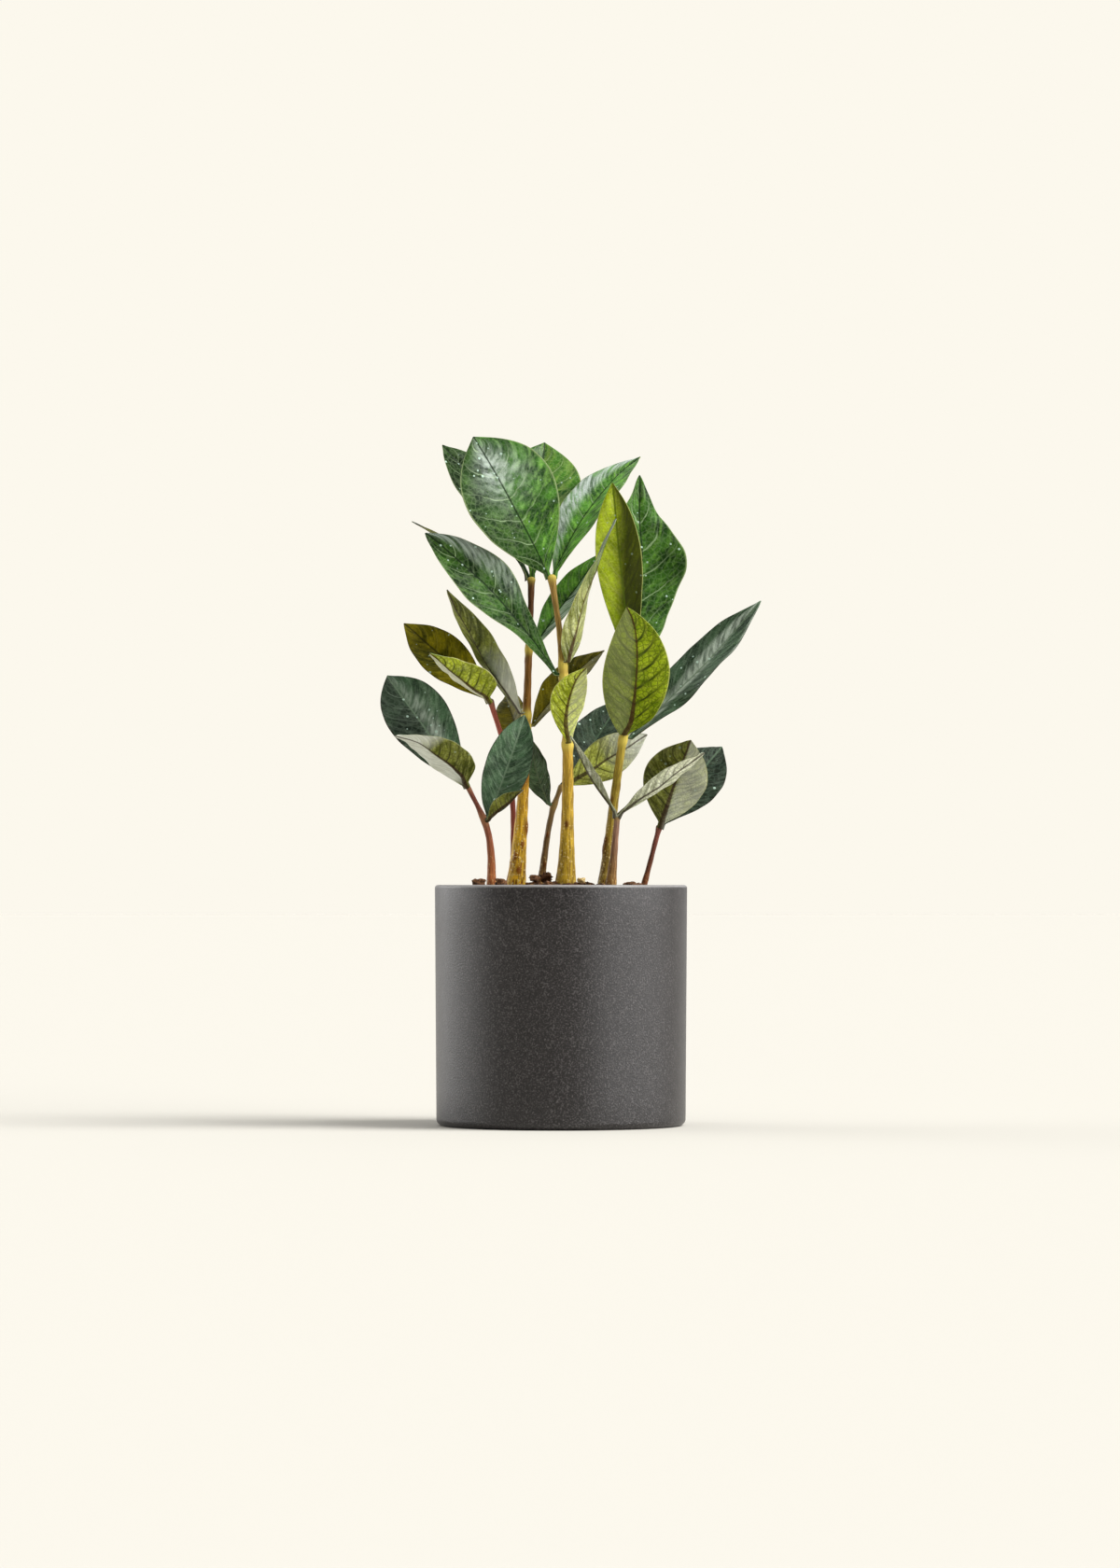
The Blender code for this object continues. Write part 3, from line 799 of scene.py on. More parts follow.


# The pair of numbers at the end of a row paints each half lighter or darker: partly its own tone, partly
# the light and shade on it.
LEAF_DRESS: dict[str, Dress] = {
    "leaf_top_large": Dress(Tone.MATURE, Tone.OLIVE_UNDER, BloomSheenAndShade.CREST, 0.9, (0.58, 2.3), veins=6),
    "leaf_top_right": Dress(Tone.MATURE, Tone.OLIVE_UNDER, BloomSheenAndShade.LEFT_EDGE, 1.0, (2.7, 2.9)),
    "leaf_back_top_left": Dress(Tone.MATURE, Tone.OLIVE_UNDER, shade=(0.4, 0.4)),
    "leaf_back_top_right": Dress(Tone.BRIGHT, Tone.OLIVE_UNDER),
    "leaf_back_upper_left": Dress(Tone.SHADED, Tone.OLIVE_UNDER),
    "leaf_back_middle": Dress(Tone.MATURE, Tone.OLIVE_UNDER, BloomSheenAndShade.RIGHT_HALF, 0.6, (2.4, 2.2)),
    "leaf_back_small_olive": Dress(Tone.BRONZE, Tone.OLIVE_UNDER, shade=(0.8, 0.8)),
    "leaf_left_large": Dress(Tone.MATURE, Tone.OLIVE_UNDER, BloomSheenAndShade.RIGHT_TIP, 0.6, (0.72, 0.76), veins=7),
    "leaf_left_narrow": Dress(Tone.OLIVE, Tone.OLIVE_UNDER, BloomSheenAndShade.FOOT, 0.95, (1.05, 1.1)),
    "leaf_left_upper_olive": Dress(Tone.BRONZE, Tone.OLIVE_UNDER, shade=(1.15, 1.15)),
    "leaf_left_upper_fresh": Dress(Tone.BRIGHT, Tone.FADED_BACKLIT_UNDER, BloomSheenAndShade.RIGHT_HALF, 0.9),
    "leaf_left_end_dark": Dress(Tone.SHADED, Tone.OLIVE_UNDER, BloomSheenAndShade.MIDRIB, 0.8, (0.55, 1.9)),
    "leaf_left_end_pale": Dress(Tone.SHADED, Tone.OLIVE_UNDER, BloomSheenAndShade.RIGHT_AND_TIP, 1.0),
    "leaf_left_mid_dark": Dress(Tone.SHADED, Tone.OLIVE_UNDER, shade=(2.2, 1.9)),
    "leaf_left_mid_folded": Dress(Tone.SHADED, Tone.OLIVE_UNDER, BloomSheenAndShade.LEFT_HALF, 0.55, (1.2, 1.2)),
    "leaf_centre_olive": Dress(Tone.BRONZE, Tone.OLIVE_UNDER, BloomSheenAndShade.RIGHT_HALF, 0.4, (0.9, 0.9)),
    "leaf_centre_folded": Dress(Tone.SHADED, Tone.TWO_TONE_UNDER, BloomSheenAndShade.TIP, 0.95, (1.3, 1.3)),
    "leaf_centre_fresh": Dress(Tone.BRIGHT, Tone.FADED_BACKLIT_UNDER, BloomSheenAndShade.LEFT_HALF, 0.35, (1.3, 1.5)),
    "leaf_right_pale": Dress(Tone.BRIGHT, Tone.FRESH_BACKLIT_UNDER, BloomSheenAndShade.RIGHT_HALF, 0.5, (0.85, 0.68)),
    "leaf_right_long": Dress(Tone.SHADED, Tone.OLIVE_UNDER, BloomSheenAndShade.BANDS, 0.8, (1.3, 1.5)),
    "leaf_right_yellow": Dress(Tone.FRESH, Tone.FRESH_BACKLIT_UNDER, BloomSheenAndShade.SHADED_HALF, 1.0, (1.15, 1.0)),
    "leaf_right_large": Dress(Tone.MATURE, Tone.OLIVE_UNDER, shade=(1.05, 1.05), veins=7, waviness=3.0),
    "leaf_front_slim": Dress(Tone.SILVER_UNDER, Tone.SILVER_UNDER, shade=(1.0, 1.25)),
    "leaf_front_pale": Dress(Tone.OLIVE, Tone.SILVER_UNDER, shade=(1.25, 1.35)),
    "leaf_far_right_olive": Dress(Tone.OLIVE, Tone.OLIVE_UNDER, BloomSheenAndShade.LEFT_HALF, 0.38, (1.0, 0.9)),
    "leaf_far_right_dark": Dress(Tone.DEEP_SHADED, Tone.OLIVE_UNDER, shade=(0.8, 0.9)),
    "leaf_low_narrow": Dress(Tone.SHADED, Tone.OLIVE_UNDER, shade=(2.7, 2.2)),
    "leaf_low_back_dark": Dress(Tone.DEEP_SHADED, Tone.OLIVE_UNDER, shade=(1.3, 1.2)),
    "leaf_low_back_olive": Dress(Tone.OLIVE, Tone.OLIVE_UNDER, BloomSheenAndShade.TIP, 1.0, (2.4, 2.2)),
}

# Aged stems are ochre at the foot and brown or olive above. Young ones are russet to pink or brown.
STEM_RINDS: dict[str, Rind] = {
    "stem_tall_left": Rind(
        "tall_left_rind", "#e0b230", "#9a6c2a", "#63402a", cork="#7a3f12", flecks=0.9, corky=True,
        scabs=((29, -15, 2.4), (56, -100, 3.2), (8, -80, 1.6), (15, -112, 1.4), (21, -66, 1.3)),
    ),
    "stem_centre": Rind(
        "centre_rind", "#bc9a30", "#b8933a", "#a88648", flecks=0.5, corky=True, scabs=((31, -95, 1.3),)
    ),
    "stem_right": Rind(
        "right_rind", "#988038", "#a48e36", "#ae9a3e", flecks=0.8, corky=True,
        scabs=((19, -168, 2.2), (23, -145, 1.7)),
    ),
    "stem_left": Rind("left_rind", "#b76c40", "#844836", "#6c3a32", joint="#8f6246", flecks=0.5),
    "stem_slender": Rind(
        "slender_rind", "#7d5f36", "#655034", "#7a6240", joint="#8a7244", flecks=0.7,
        scabs=((11, -70, 1.1), (26, -95, 1.0)),
    ),
    "stem_back_left": Rind("back_left_rind", "#8a4a38", "#8c4340", "#ae5e54", joint="#a0705a", flecks=0.3),
    "stem_front_right": Rind(
        "front_right_rind", "#9e7644", "#8e6a50", "#94705e", joint="#c0a860", flecks=0.6
    ),
    "stem_far_right": Rind("far_right_rind", "#7a4830", "#683b30", "#7a443c", joint="#7a4c40", flecks=0.3),
}


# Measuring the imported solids


@dataclass
class Solid:
    """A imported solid's points and triangles, in metres."""

    points: np.ndarray
    faces: np.ndarray

    @classmethod
    def of(cls, node: bpy.types.Object) -> Solid:
        """Reads a node's mesh.

        Args:
            node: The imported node's object.

        Returns:
            Its points and triangles in the row's frame.
        """
        mesh = node.data
        mesh.calc_loop_triangles()
        points = np.empty(len(mesh.vertices) * 3)
        mesh.vertices.foreach_get("co", points)
        faces = np.empty(len(mesh.loop_triangles) * 3, np.int64)
        mesh.loop_triangles.foreach_get("vertices", faces)
        world = np.array(node.matrix_world)
        return cls(points.reshape(-1, 3) @ world[:3, :3].T + world[:3, 3], faces.reshape(-1, 3))

    def tree(self) -> BVHTree:
        """A search tree of the solid's surface."""
        return BVHTree.FromPolygons([Vector(p) for p in self.points], self.faces.tolist())

    def section(self, origin: np.ndarray, normal: np.ndarray) -> np.ndarray:
        """Cuts the solid with a plane.

        Args:
            origin: A point on the plane.
            normal: The plane's normal.

        Returns:
            The cut's segments, as an array of (segment, end, coordinate).
        """
        side = (self.points - origin) @ normal
        side[side == 0] = 1e-12
        signs = side[self.faces]
        crossing = (signs.min(axis=1) < 0) & (signs.max(axis=1) > 0)
        segments = []
        for face, heights in zip(self.faces[crossing], signs[crossing]):
            ends = []
            for a, b in ((0, 1), (1, 2), (2, 0)):
                if heights[a] * heights[b] < 0:
                    share = heights[a] / (heights[a] - heights[b])
                    start = self.points[face[a]]
                    ends.append(start + (self.points[face[b]] - start) * share)
            segments.append(ends)
        return np.array(segments)


def unit(vector: np.ndarray) -> np.ndarray:
    """The vector, or each vector of an array, at a length of 1."""
    return vector / np.maximum(np.linalg.norm(vector, axis=-1, keepdims=True), 1e-12)


def smooth_along(knots: np.ndarray, values: np.ndarray, wanted: np.ndarray) -> np.ndarray:
    """Runs a smooth curve through values at knots.

    Args:
        knots: Rising places, one for each value.
        values: What the curve passes through, of any shape after the first axis.
        wanted: Where the curve is read.

    Returns:
        The curve's values at the wanted places.
    """
    slopes = np.gradient(values, knots, axis=0)
    index = np.clip(np.searchsorted(knots, wanted) - 1, 0, len(knots) - 2)
    gap = knots[index + 1] - knots[index]
    share = (wanted - knots[index]) / gap
    shape = (-1,) + (1,) * (values.ndim - 1)
    t, gap = share.reshape(shape), gap.reshape(shape)
    start, end = values[index], values[index + 1]
    leave, arrive = slopes[index] * gap, slopes[index + 1] * gap
    return (
        (2 * t**3 - 3 * t**2 + 1) * start
        + (t**3 - 2 * t**2 + t) * leave
        + (3 * t**2 - 2 * t**3) * end
        + (t**3 - t**2) * arrive
    )


def middle_line(segments: np.ndarray, normal: np.ndarray, shares: tuple[float, ...]) -> np.ndarray:
    """The line halfway between the two faces of a thin section.

    Args:
        segments: The section, from Solid.section.
        normal: The cutting plane's normal.
        shares: Where to read the line, as shares of the way from one edge to the other.

    Returns:
        One point for each share.
    """
    ends = segments.reshape(-1, 3)
    gaps = np.linalg.norm(ends[:, None] - ends[None], axis=2)
    first, last = np.unravel_index(gaps.argmax(), gaps.shape)
    start = ends[first]
    width = gaps[first, last]
    along = (ends[last] - start) / width
    lift = np.cross(normal, along)
    flat = np.stack([(segments - start) @ along, (segments - start) @ lift], axis=-1)
    line = []
    for share in shares:
        place = share * width
        heights = [
            h0 + (h1 - h0) * (place - t0) / (t1 - t0)
            for (t0, h0), (t1, h1) in flat
            if (t0 - place) * (t1 - place) <= 0 and t0 != t1
        ]
        line.append(start + along * place + lift * (min(heights) + max(heights)) / 2)
    return np.array(line)


def placed(name: str, data: bpy.types.ID) -> bpy.types.Object:
    """Makes an object that holds the data and links it to the scene.

    Args:
        name: The object's name.
        data: Its mesh, camera or lamp.

    Returns:
        The new object.
    """
    made = bpy.data.objects.new(name, data)
    bpy.context.scene.collection.objects.link(made)
    return made


def new_object(name: str, vertices: list, faces: list) -> bpy.types.Object:
    """Makes a smooth-shaded mesh object from its points and faces and links it to the scene.

    Args:
        name: The piece's name.
        vertices: Its points in metres.
        faces: Its faces as lists of point numbers.

    Returns:
        The new object.
    """
    mesh = bpy.data.meshes.new(name)
    mesh.from_pydata([tuple(v) for v in vertices], [], faces)
    mesh.shade_smooth()
    mesh.validate()
    return placed(name, mesh)


def give_attribute(piece: bpy.types.Object, name: str, values: np.ndarray) -> None:
    """Stores one vector for each of a piece's points, for its material to read."""
    layer = piece.data.attributes.new(name, "FLOAT_VECTOR", "POINT")
    layer.data.foreach_set("vector", np.asarray(values, np.float32).reshape(-1))


def settle(piece: bpy.types.Object, slot: str, *nodes: str) -> None:
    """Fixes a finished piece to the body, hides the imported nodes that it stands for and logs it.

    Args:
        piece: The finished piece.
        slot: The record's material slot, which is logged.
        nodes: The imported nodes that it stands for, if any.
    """
    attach(piece, BODY)
    if nodes:
        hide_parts(*nodes)
    LOG.info("%s: %d faces, slot %s", piece.name, len(piece.data.polygons), slot)


# Leaflets


@dataclass
class Leaflet:
    """One leaflet: a thin blade on a short stalk, with a sunk midrib and quilted between its veins.

    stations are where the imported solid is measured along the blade, and shares where it is measured
    across. ruffle_waves are the slow and quick wave of its edges, in radians over its length.
    stalk_share is how much of its length the stalk's swelling takes up, and rooting how deep the
    stalk runs into the stem.
    """

    name: str
    dress: Dress
    solid: Solid
    stem_tree: BVHTree
    slot: str
    rows: int = 60
    columns: int = 15
    half_thickness: float = 0.42 * MM
    stalk_radius: float = 1.15 * MM
    socket_radius: float = 1.7 * MM
    quilting: float = 0.24 * MM
    undulation: float = 0.16 * MM
    groove: float = 0.3 * MM
    ruffle: float = 0.35 * MM
    ruffle_waves: tuple[float, float] = (17.0, 31.0)
    rib_depth: float = 0.35 * MM
    stalk_share: float = 0.1
    stalk_steps: int = 5
    rooting: float = 0.9 * MM
    stations: tuple[float, ...] = (0.012, 0.1, 0.2, 0.3, 0.4, 0.5, 0.6, 0.7, 0.8, 0.88, 0.94, 0.975)
    tip_half_width: float = 0.3 * MM
    shares: tuple[float, ...] = (0.02, 0.25, 0.5, 0.75, 0.98)
    base: np.ndarray = field(init=False)
    tip: np.ndarray = field(init=False)

    def __post_init__(self) -> None:
        """Finds the blade's two ends. The base is the one nearer to its stem."""
        middle = self.solid.points.mean(axis=0)
        spread = np.linalg.svd(self.solid.points - middle, full_matrices=False)[2][0]
        place = (self.solid.points - middle) @ spread
        ends = [
            self.solid.points[place > place.max() - 0.4 * MM].mean(axis=0),
            self.solid.points[place < place.min() + 0.4 * MM].mean(axis=0),
        ]
        ends.sort(key=lambda end: self.stem_tree.find_nearest(Vector(end))[3])
        self.base, self.tip = ends

    def measure(self) -> np.ndarray:
        """Measures the blade's middle surface.

        Returns:
            Points by station and share, with the upper side on the side that the halves lift to.
        """
        chord = self.tip - self.base
        forward = unit(chord)
        lines: list[np.ndarray] = []
        for station in self.stations:
            cut = self.solid.section(self.base + chord * station, forward)
            line = middle_line(cut, forward, self.shares)
            if lines and (line[-1] - line[0]) @ (lines[-1][-1] - lines[-1][0]) < 0:
                line = line[::-1]
            lines.append(line)
        grid = np.array(lines)
        up = ((grid[:, 0] + grid[:, -1]) / 2 - grid[:, 2]).sum(axis=0)
        side = np.cross(forward, up)
        if (grid[:, -1] - grid[:, 0]).sum(axis=0) @ side < 0:
            grid = grid[:, ::-1]
        return grid

    def surface(self, places: np.ndarray, across: np.ndarray) -> np.ndarray:
        """The blade's middle surface, smooth along the blade and over each half.

        Args:
            places: Places along the blade, 0 at the base and 1 at the tip.
            across: Places across it, -1 to 1, with the midrib at 0.

        Returns:
            Points by place along and place across.
        """
        measured = self.measure()
        # The last row is the tip itself, a point as fine as the blade is thick.
        across_tip = unit(measured[-1, -1] - measured[-1, 0]) * self.tip_half_width
        last = self.tip + across_tip * np.linspace(-1, 1, len(self.shares))[:, None]
        grid = smooth_along(
            np.array([*self.stations, 1.0]), np.concatenate([measured, last[None]]), places
        )
        reach = 1 - 2 * self.shares[0]
        halves = []
        for v in across:
            outer, inner = (grid[:, 4], grid[:, 3]) if v >= 0 else (grid[:, 0], grid[:, 1])
            x = abs(v)
            to_inner = x * (x - reach) / (0.5 * (0.5 - reach))
            to_outer = x * (x - 0.5) / (reach * (reach - 0.5))
            to_middle = (x - 0.5) * (x - reach) / (0.5 * reach)
            halves.append(grid[:, 2] * to_middle + inner * to_inner + outer * to_outer)
        return np.stack(halves, axis=1)

    def bloom_sheen_and_shade(self, u: np.ndarray, v: np.ndarray) -> np.ndarray:
        """How much cover colour the blade carries at each place: wax bloom with painted sheen, and on
        the young skin painted shade.

        Args:
            u: Places along the blade, 0 at the base and 1 at the tip.
            v: Places across it, -1 to 1.

        Returns:
            Its strength, 0 to 1.
        """
        edge = np.clip(np.abs(v) * 6, 0, 1)
        if self.dress.bloom_sheen_and_shade is BloomSheenAndShade.LEFT_HALF:
            spread = edge * (v < 0)
        elif self.dress.bloom_sheen_and_shade is BloomSheenAndShade.RIGHT_HALF:
            spread = edge * (v > 0)
        elif self.dress.bloom_sheen_and_shade is BloomSheenAndShade.TIP:
            spread = np.clip((u - 0.45) * 2.4, 0, 1) * np.ones_like(v)
        # Painted reflection: broad bands of silvery sheen along the blade.
        elif self.dress.bloom_sheen_and_shade is BloomSheenAndShade.BANDS:
            spread = np.clip(np.sin(v * 4.6 + u * 2.6 + 0.6) * 1.3, 0, 1) * np.clip(u * 4, 0, 1)
        # Painted shade over the base and the right half, fading towards the tip.
        elif self.dress.bloom_sheen_and_shade is BloomSheenAndShade.SHADED_HALF:
            spread = np.clip(v * 1.6 + 1.75 - 2.1 * u, 0, 1)
        elif self.dress.bloom_sheen_and_shade is BloomSheenAndShade.FOOT:
            spread = edge * (v < 0) * np.clip((0.55 - u) * 3, 0, 1)
        # A painted highlight: a whitish glare patch where the light strikes the blade's crest.
        elif self.dress.bloom_sheen_and_shade is BloomSheenAndShade.CREST:
            spread = np.exp(-(((u - 0.76) / 0.2) ** 2)) * np.exp(-(((v - 0.12) / 0.5) ** 2))
        elif self.dress.bloom_sheen_and_shade is BloomSheenAndShade.LEFT_EDGE:
            spread = np.clip((-v - 0.3) * 4, 0, 1) * np.clip(u * 4, 0, 1)
        elif self.dress.bloom_sheen_and_shade is BloomSheenAndShade.RIGHT_TIP:
            spread = np.clip((v - 0.25) * 3, 0, 1) * np.clip((u - 0.35) * 3, 0, 1)
        elif self.dress.bloom_sheen_and_shade is BloomSheenAndShade.RIGHT_AND_TIP:
            spread = np.maximum(v > 0, np.clip((u - 0.58) * 6, 0, 1)) * np.clip(u * 10, 0, 1)
        elif self.dress.bloom_sheen_and_shade is BloomSheenAndShade.MIDRIB:
            spread = np.exp(-(((v - 0.25) / 0.2) ** 2)) * np.clip(1.6 - 1.4 * u, 0, 1)
        else:
            spread = np.zeros(np.broadcast(u, v).shape)
        return spread * self.dress.bloom_sheen_and_shade_strength

    def build(self) -> bpy.types.Object:
        """Builds the leaflet's mesh and its own coordinates.

        Returns:
            The leaflet as one closed object.
        """
        rng = random.Random(self.name)
        half = np.sin(np.linspace(0, math.pi / 2, self.columns)) ** 0.9
        across = np.concatenate([-half[:0:-1], half])
        places = np.linspace(0, 1, self.rows) ** 1.06
        middle = self.surface(self.stations[0] + places * (1 - self.stations[0]), across)
        u, v = places[:, None], across[None, :]
        run = np.gradient(middle, axis=0)
        spread = np.gradient(middle, axis=1)
        normal = unit(np.cross(spread, run))
        length = np.linalg.norm(self.tip - self.base)
        half_width = np.linalg.norm(middle[:, -1] - middle[:, 0], axis=1)[:, None] / 2

        # The lateral veins leave the midrib and sweep forward, so the count falls towards the edge.
        veins = (u - 0.2 * np.abs(v) ** 1.3) * self.dress.veins + rng.random()
        body = np.clip(half_width / (6 * MM), 0, 1)
        relief = self.relief(rng, u, v, veins, half_width)
        middle = middle + normal * relief[..., None]

        stalk = np.clip(1 - u / self.stalk_share, 0, 1)
        swelling = (self.stalk_radius * 0.8 - self.half_thickness) * stalk**2
        thick = self.half_thickness * (1 - 0.45 * u) + swelling
        power = 6 - 4 * stalk
        lens = thick * np.sqrt(np.clip(1 - np.abs(v) ** power, 0, 1))
        rib = self.rib_depth * np.exp(-((v * half_width / (0.7 * MM)) ** 2)) * body * (1 - 0.8 * u)
        upper = middle + normal * lens[..., None]
        lower = middle - normal * (lens + rib)[..., None]
        # Each half is painted lighter or darker: partly its own tone, partly the light and shade on it.
        left, right = self.dress.shade
        shade = left + (right - left) * np.clip(v * 12 + 0.5, 0, 1)
        coordinates = {
            "blade_shade": np.repeat(np.broadcast_to(shade, lens.shape)[..., None], 3, axis=-1),
            "blade": np.stack(np.broadcast_arrays(veins, v, self.bloom_sheen_and_shade(u, v)), axis=-1),
            "blade_mm": np.stack(
                np.broadcast_arrays(v * half_width / MM, u * length / MM, rng.random() * 90), axis=-1
            ),
        }
        return self.close(self.stalked(upper, lower, coordinates), len(across))

    def relief(
        self,
        rng: random.Random,
        u: np.ndarray,
        v: np.ndarray,
        veins: np.ndarray,
        half_width: np.ndarray,
    ) -> np.ndarray:
        """How far the blade's surface rises and falls: quilting, midrib groove, ruffles and waves.

        Args:
            rng: Where the waves' phases and directions are drawn from.
            u: Places along the blade, 0 at the base and 1 at the tip.
            v: Places across it, -1 to 1.
            veins: The count of lateral veins at each place.
            half_width: Half the blade's width at each place along it.

        Returns:
            The rise at each place, in metres.
        """
        between = np.abs((veins + 0.5) % 1 - 0.5) * 2
        body = np.clip(half_width / (6 * MM), 0, 1)
        inside = 1 - np.abs(v) ** 4
        relief = self.quilting * (between - 0.5) * inside * np.clip(np.abs(v) * 5, 0, 1) * body
        relief = relief - self.groove * np.exp(-((v * half_width / (0.9 * MM)) ** 2)) * body
        phases = [rng.uniform(*ANY_PHASE) for _ in range(4)]
        slow, quick = self.ruffle_waves
        for side, (first, second) in ((v > 0, phases[:2]), (v < 0, phases[2:])):
            wave = np.sin(u * slow + first) + 0.6 * np.sin(u * quick + second)
            rise = self.ruffle * self.dress.waviness * wave * np.abs(v) ** 3 * side
            relief = relief + rise * body * np.sin(u * math.pi)
        for _ in range(5):
            along, sideways, start = rng.uniform(5, 15), rng.uniform(-5, 5), rng.uniform(*ANY_PHASE)
            wave = np.sin(along * u + sideways * v + start)
            relief = relief + self.undulation * wave * inside * body
        return relief

    def stalked(
        self, upper: np.ndarray, lower: np.ndarray, coordinates: dict[str, np.ndarray]
    ) -> dict[str, np.ndarray]:
        """Adds the stalk's rows, from inside the stem to where the blade starts.

        Args:
            upper: The blade's upper side, by row and column.
            lower: Its underside.
            coordinates: The blade's attributes, by row and column.

        Returns:
            Both sides and every attribute, with the stalk's rows in front.
        """
        start = (upper[0] + lower[0]).mean(axis=0) / 2
        touch = np.array(self.stem_tree.find_nearest(Vector(start))[0])
        inner = touch - unit(start - touch) * self.rooting
        offsets_up, offsets_down = upper[0] - start, lower[0] - start
        width = np.linalg.norm(upper[0, -1] - upper[0, 0]) / 2
        rows_up, rows_down = [], []
        for i in range(self.stalk_steps):
            share = i / self.stalk_steps
            grown = 1 + (self.socket_radius / width - 1) * (1 - share) ** 1.5
            centre = inner + (start - inner) * share
            rows_up.append(centre + offsets_up * grown)
            rows_down.append(centre + offsets_down * grown)
        grown_out = {
            "upper": np.concatenate([np.array(rows_up), upper]),
            "lower": np.concatenate([np.array(rows_down), lower]),
        }
        for name, values in coordinates.items():
            grown_out[name] = np.concatenate([np.repeat(values[:1], self.stalk_steps, axis=0), values])
        return grown_out

    def close(self, parts: dict[str, np.ndarray], columns: int) -> bpy.types.Object:
        """Joins the two sides at the rim, base and tip into one closed object.

        Args:
            parts: Both sides and every attribute, from stalked.
            columns: How many points each row of a side has.

        Returns:
            The leaflet's object, with its upper faces in the first material slot.
        """
        upper, lower = parts["upper"], parts["lower"]
        rows = len(upper)
        inner = columns - 2
        vertices = [*upper.reshape(-1, 3), *lower[:, 1:-1].reshape(-1, 3)]

        def top(i: int, j: int) -> int:
            """The number of an upper point."""
            return i * columns + j

        def bottom(i: int, j: int) -> int:
            """The number of a lower point. The rim's points are the upper ones."""
            on_rim = j in (0, columns - 1)
            return top(i, j) if on_rim else rows * columns + i * inner + j - 1

        faces, sides = [], []
        for i in range(rows - 1):
            for j in range(columns - 1):
                faces.append([top(i, j), top(i, j + 1), top(i + 1, j + 1), top(i + 1, j)])
                faces.append([bottom(i + 1, j), bottom(i + 1, j + 1), bottom(i, j + 1), bottom(i, j)])
                sides += [0, 1]
        round_base, round_tip = (
            [top(i, j) for j in range(columns)] + [bottom(i, j) for j in range(columns - 2, 0, -1)]
            for i in (0, rows - 1)
        )
        faces += [round_base[::-1], round_tip]
        sides += [1, 1]
        piece = new_object(f"blade_{self.name.removeprefix('leaf_')}", vertices, faces)
        piece.data.polygons.foreach_set("material_index", sides)
        for name in ("blade", "blade_mm", "blade_shade"):
            values = parts[name]
            give_attribute(
                piece, name, np.concatenate([values.reshape(-1, 3), values[:, 1:-1].reshape(-1, 3)])
            )
        return piece


@dataclass
class Foliage:
    """All of the plant's leaflets."""

    nodes: dict[str, bpy.types.Object]
    slots: dict[str, str]
    stem_trees: dict[str, BVHTree]
    joints: dict[str, list[float]] = field(default_factory=dict)

    def make(self) -> None:
        """Builds and dresses each leaflet, and notes how high on its stem it grows."""
        skins = {tone: tone.value.material() for tone in Tone}
        for name, dress in LEAF_DRESS.items():
            solid = Solid.of(self.nodes[name])
            stem, tree = self.nearest_stem(solid)
            leaflet = Leaflet(name, dress, solid, tree, self.slots[name])
            self.joints.setdefault(stem, []).append(float(leaflet.base[2]))
            piece = leaflet.build()
            piece.data.materials.append(skins[dress.upper])
            piece.data.materials.append(skins[dress.under])
            settle(piece, leaflet.slot, name)

    def nearest_stem(self, solid: Solid) -> tuple[str, BVHTree]:
        """The stem that a leaflet grows from.

        Args:
            solid: The leaflet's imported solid.

        Returns:
            The stem's name and its search tree.
        """
        gaps = {}
        for name, tree in self.stem_trees.items():
            found = [tree.find_nearest(Vector(p))[3] for p in solid.points]
            gaps[name] = min(found)
        nearest = min(gaps, key=gaps.get)
        return nearest, self.stem_trees[nearest]


# Stems


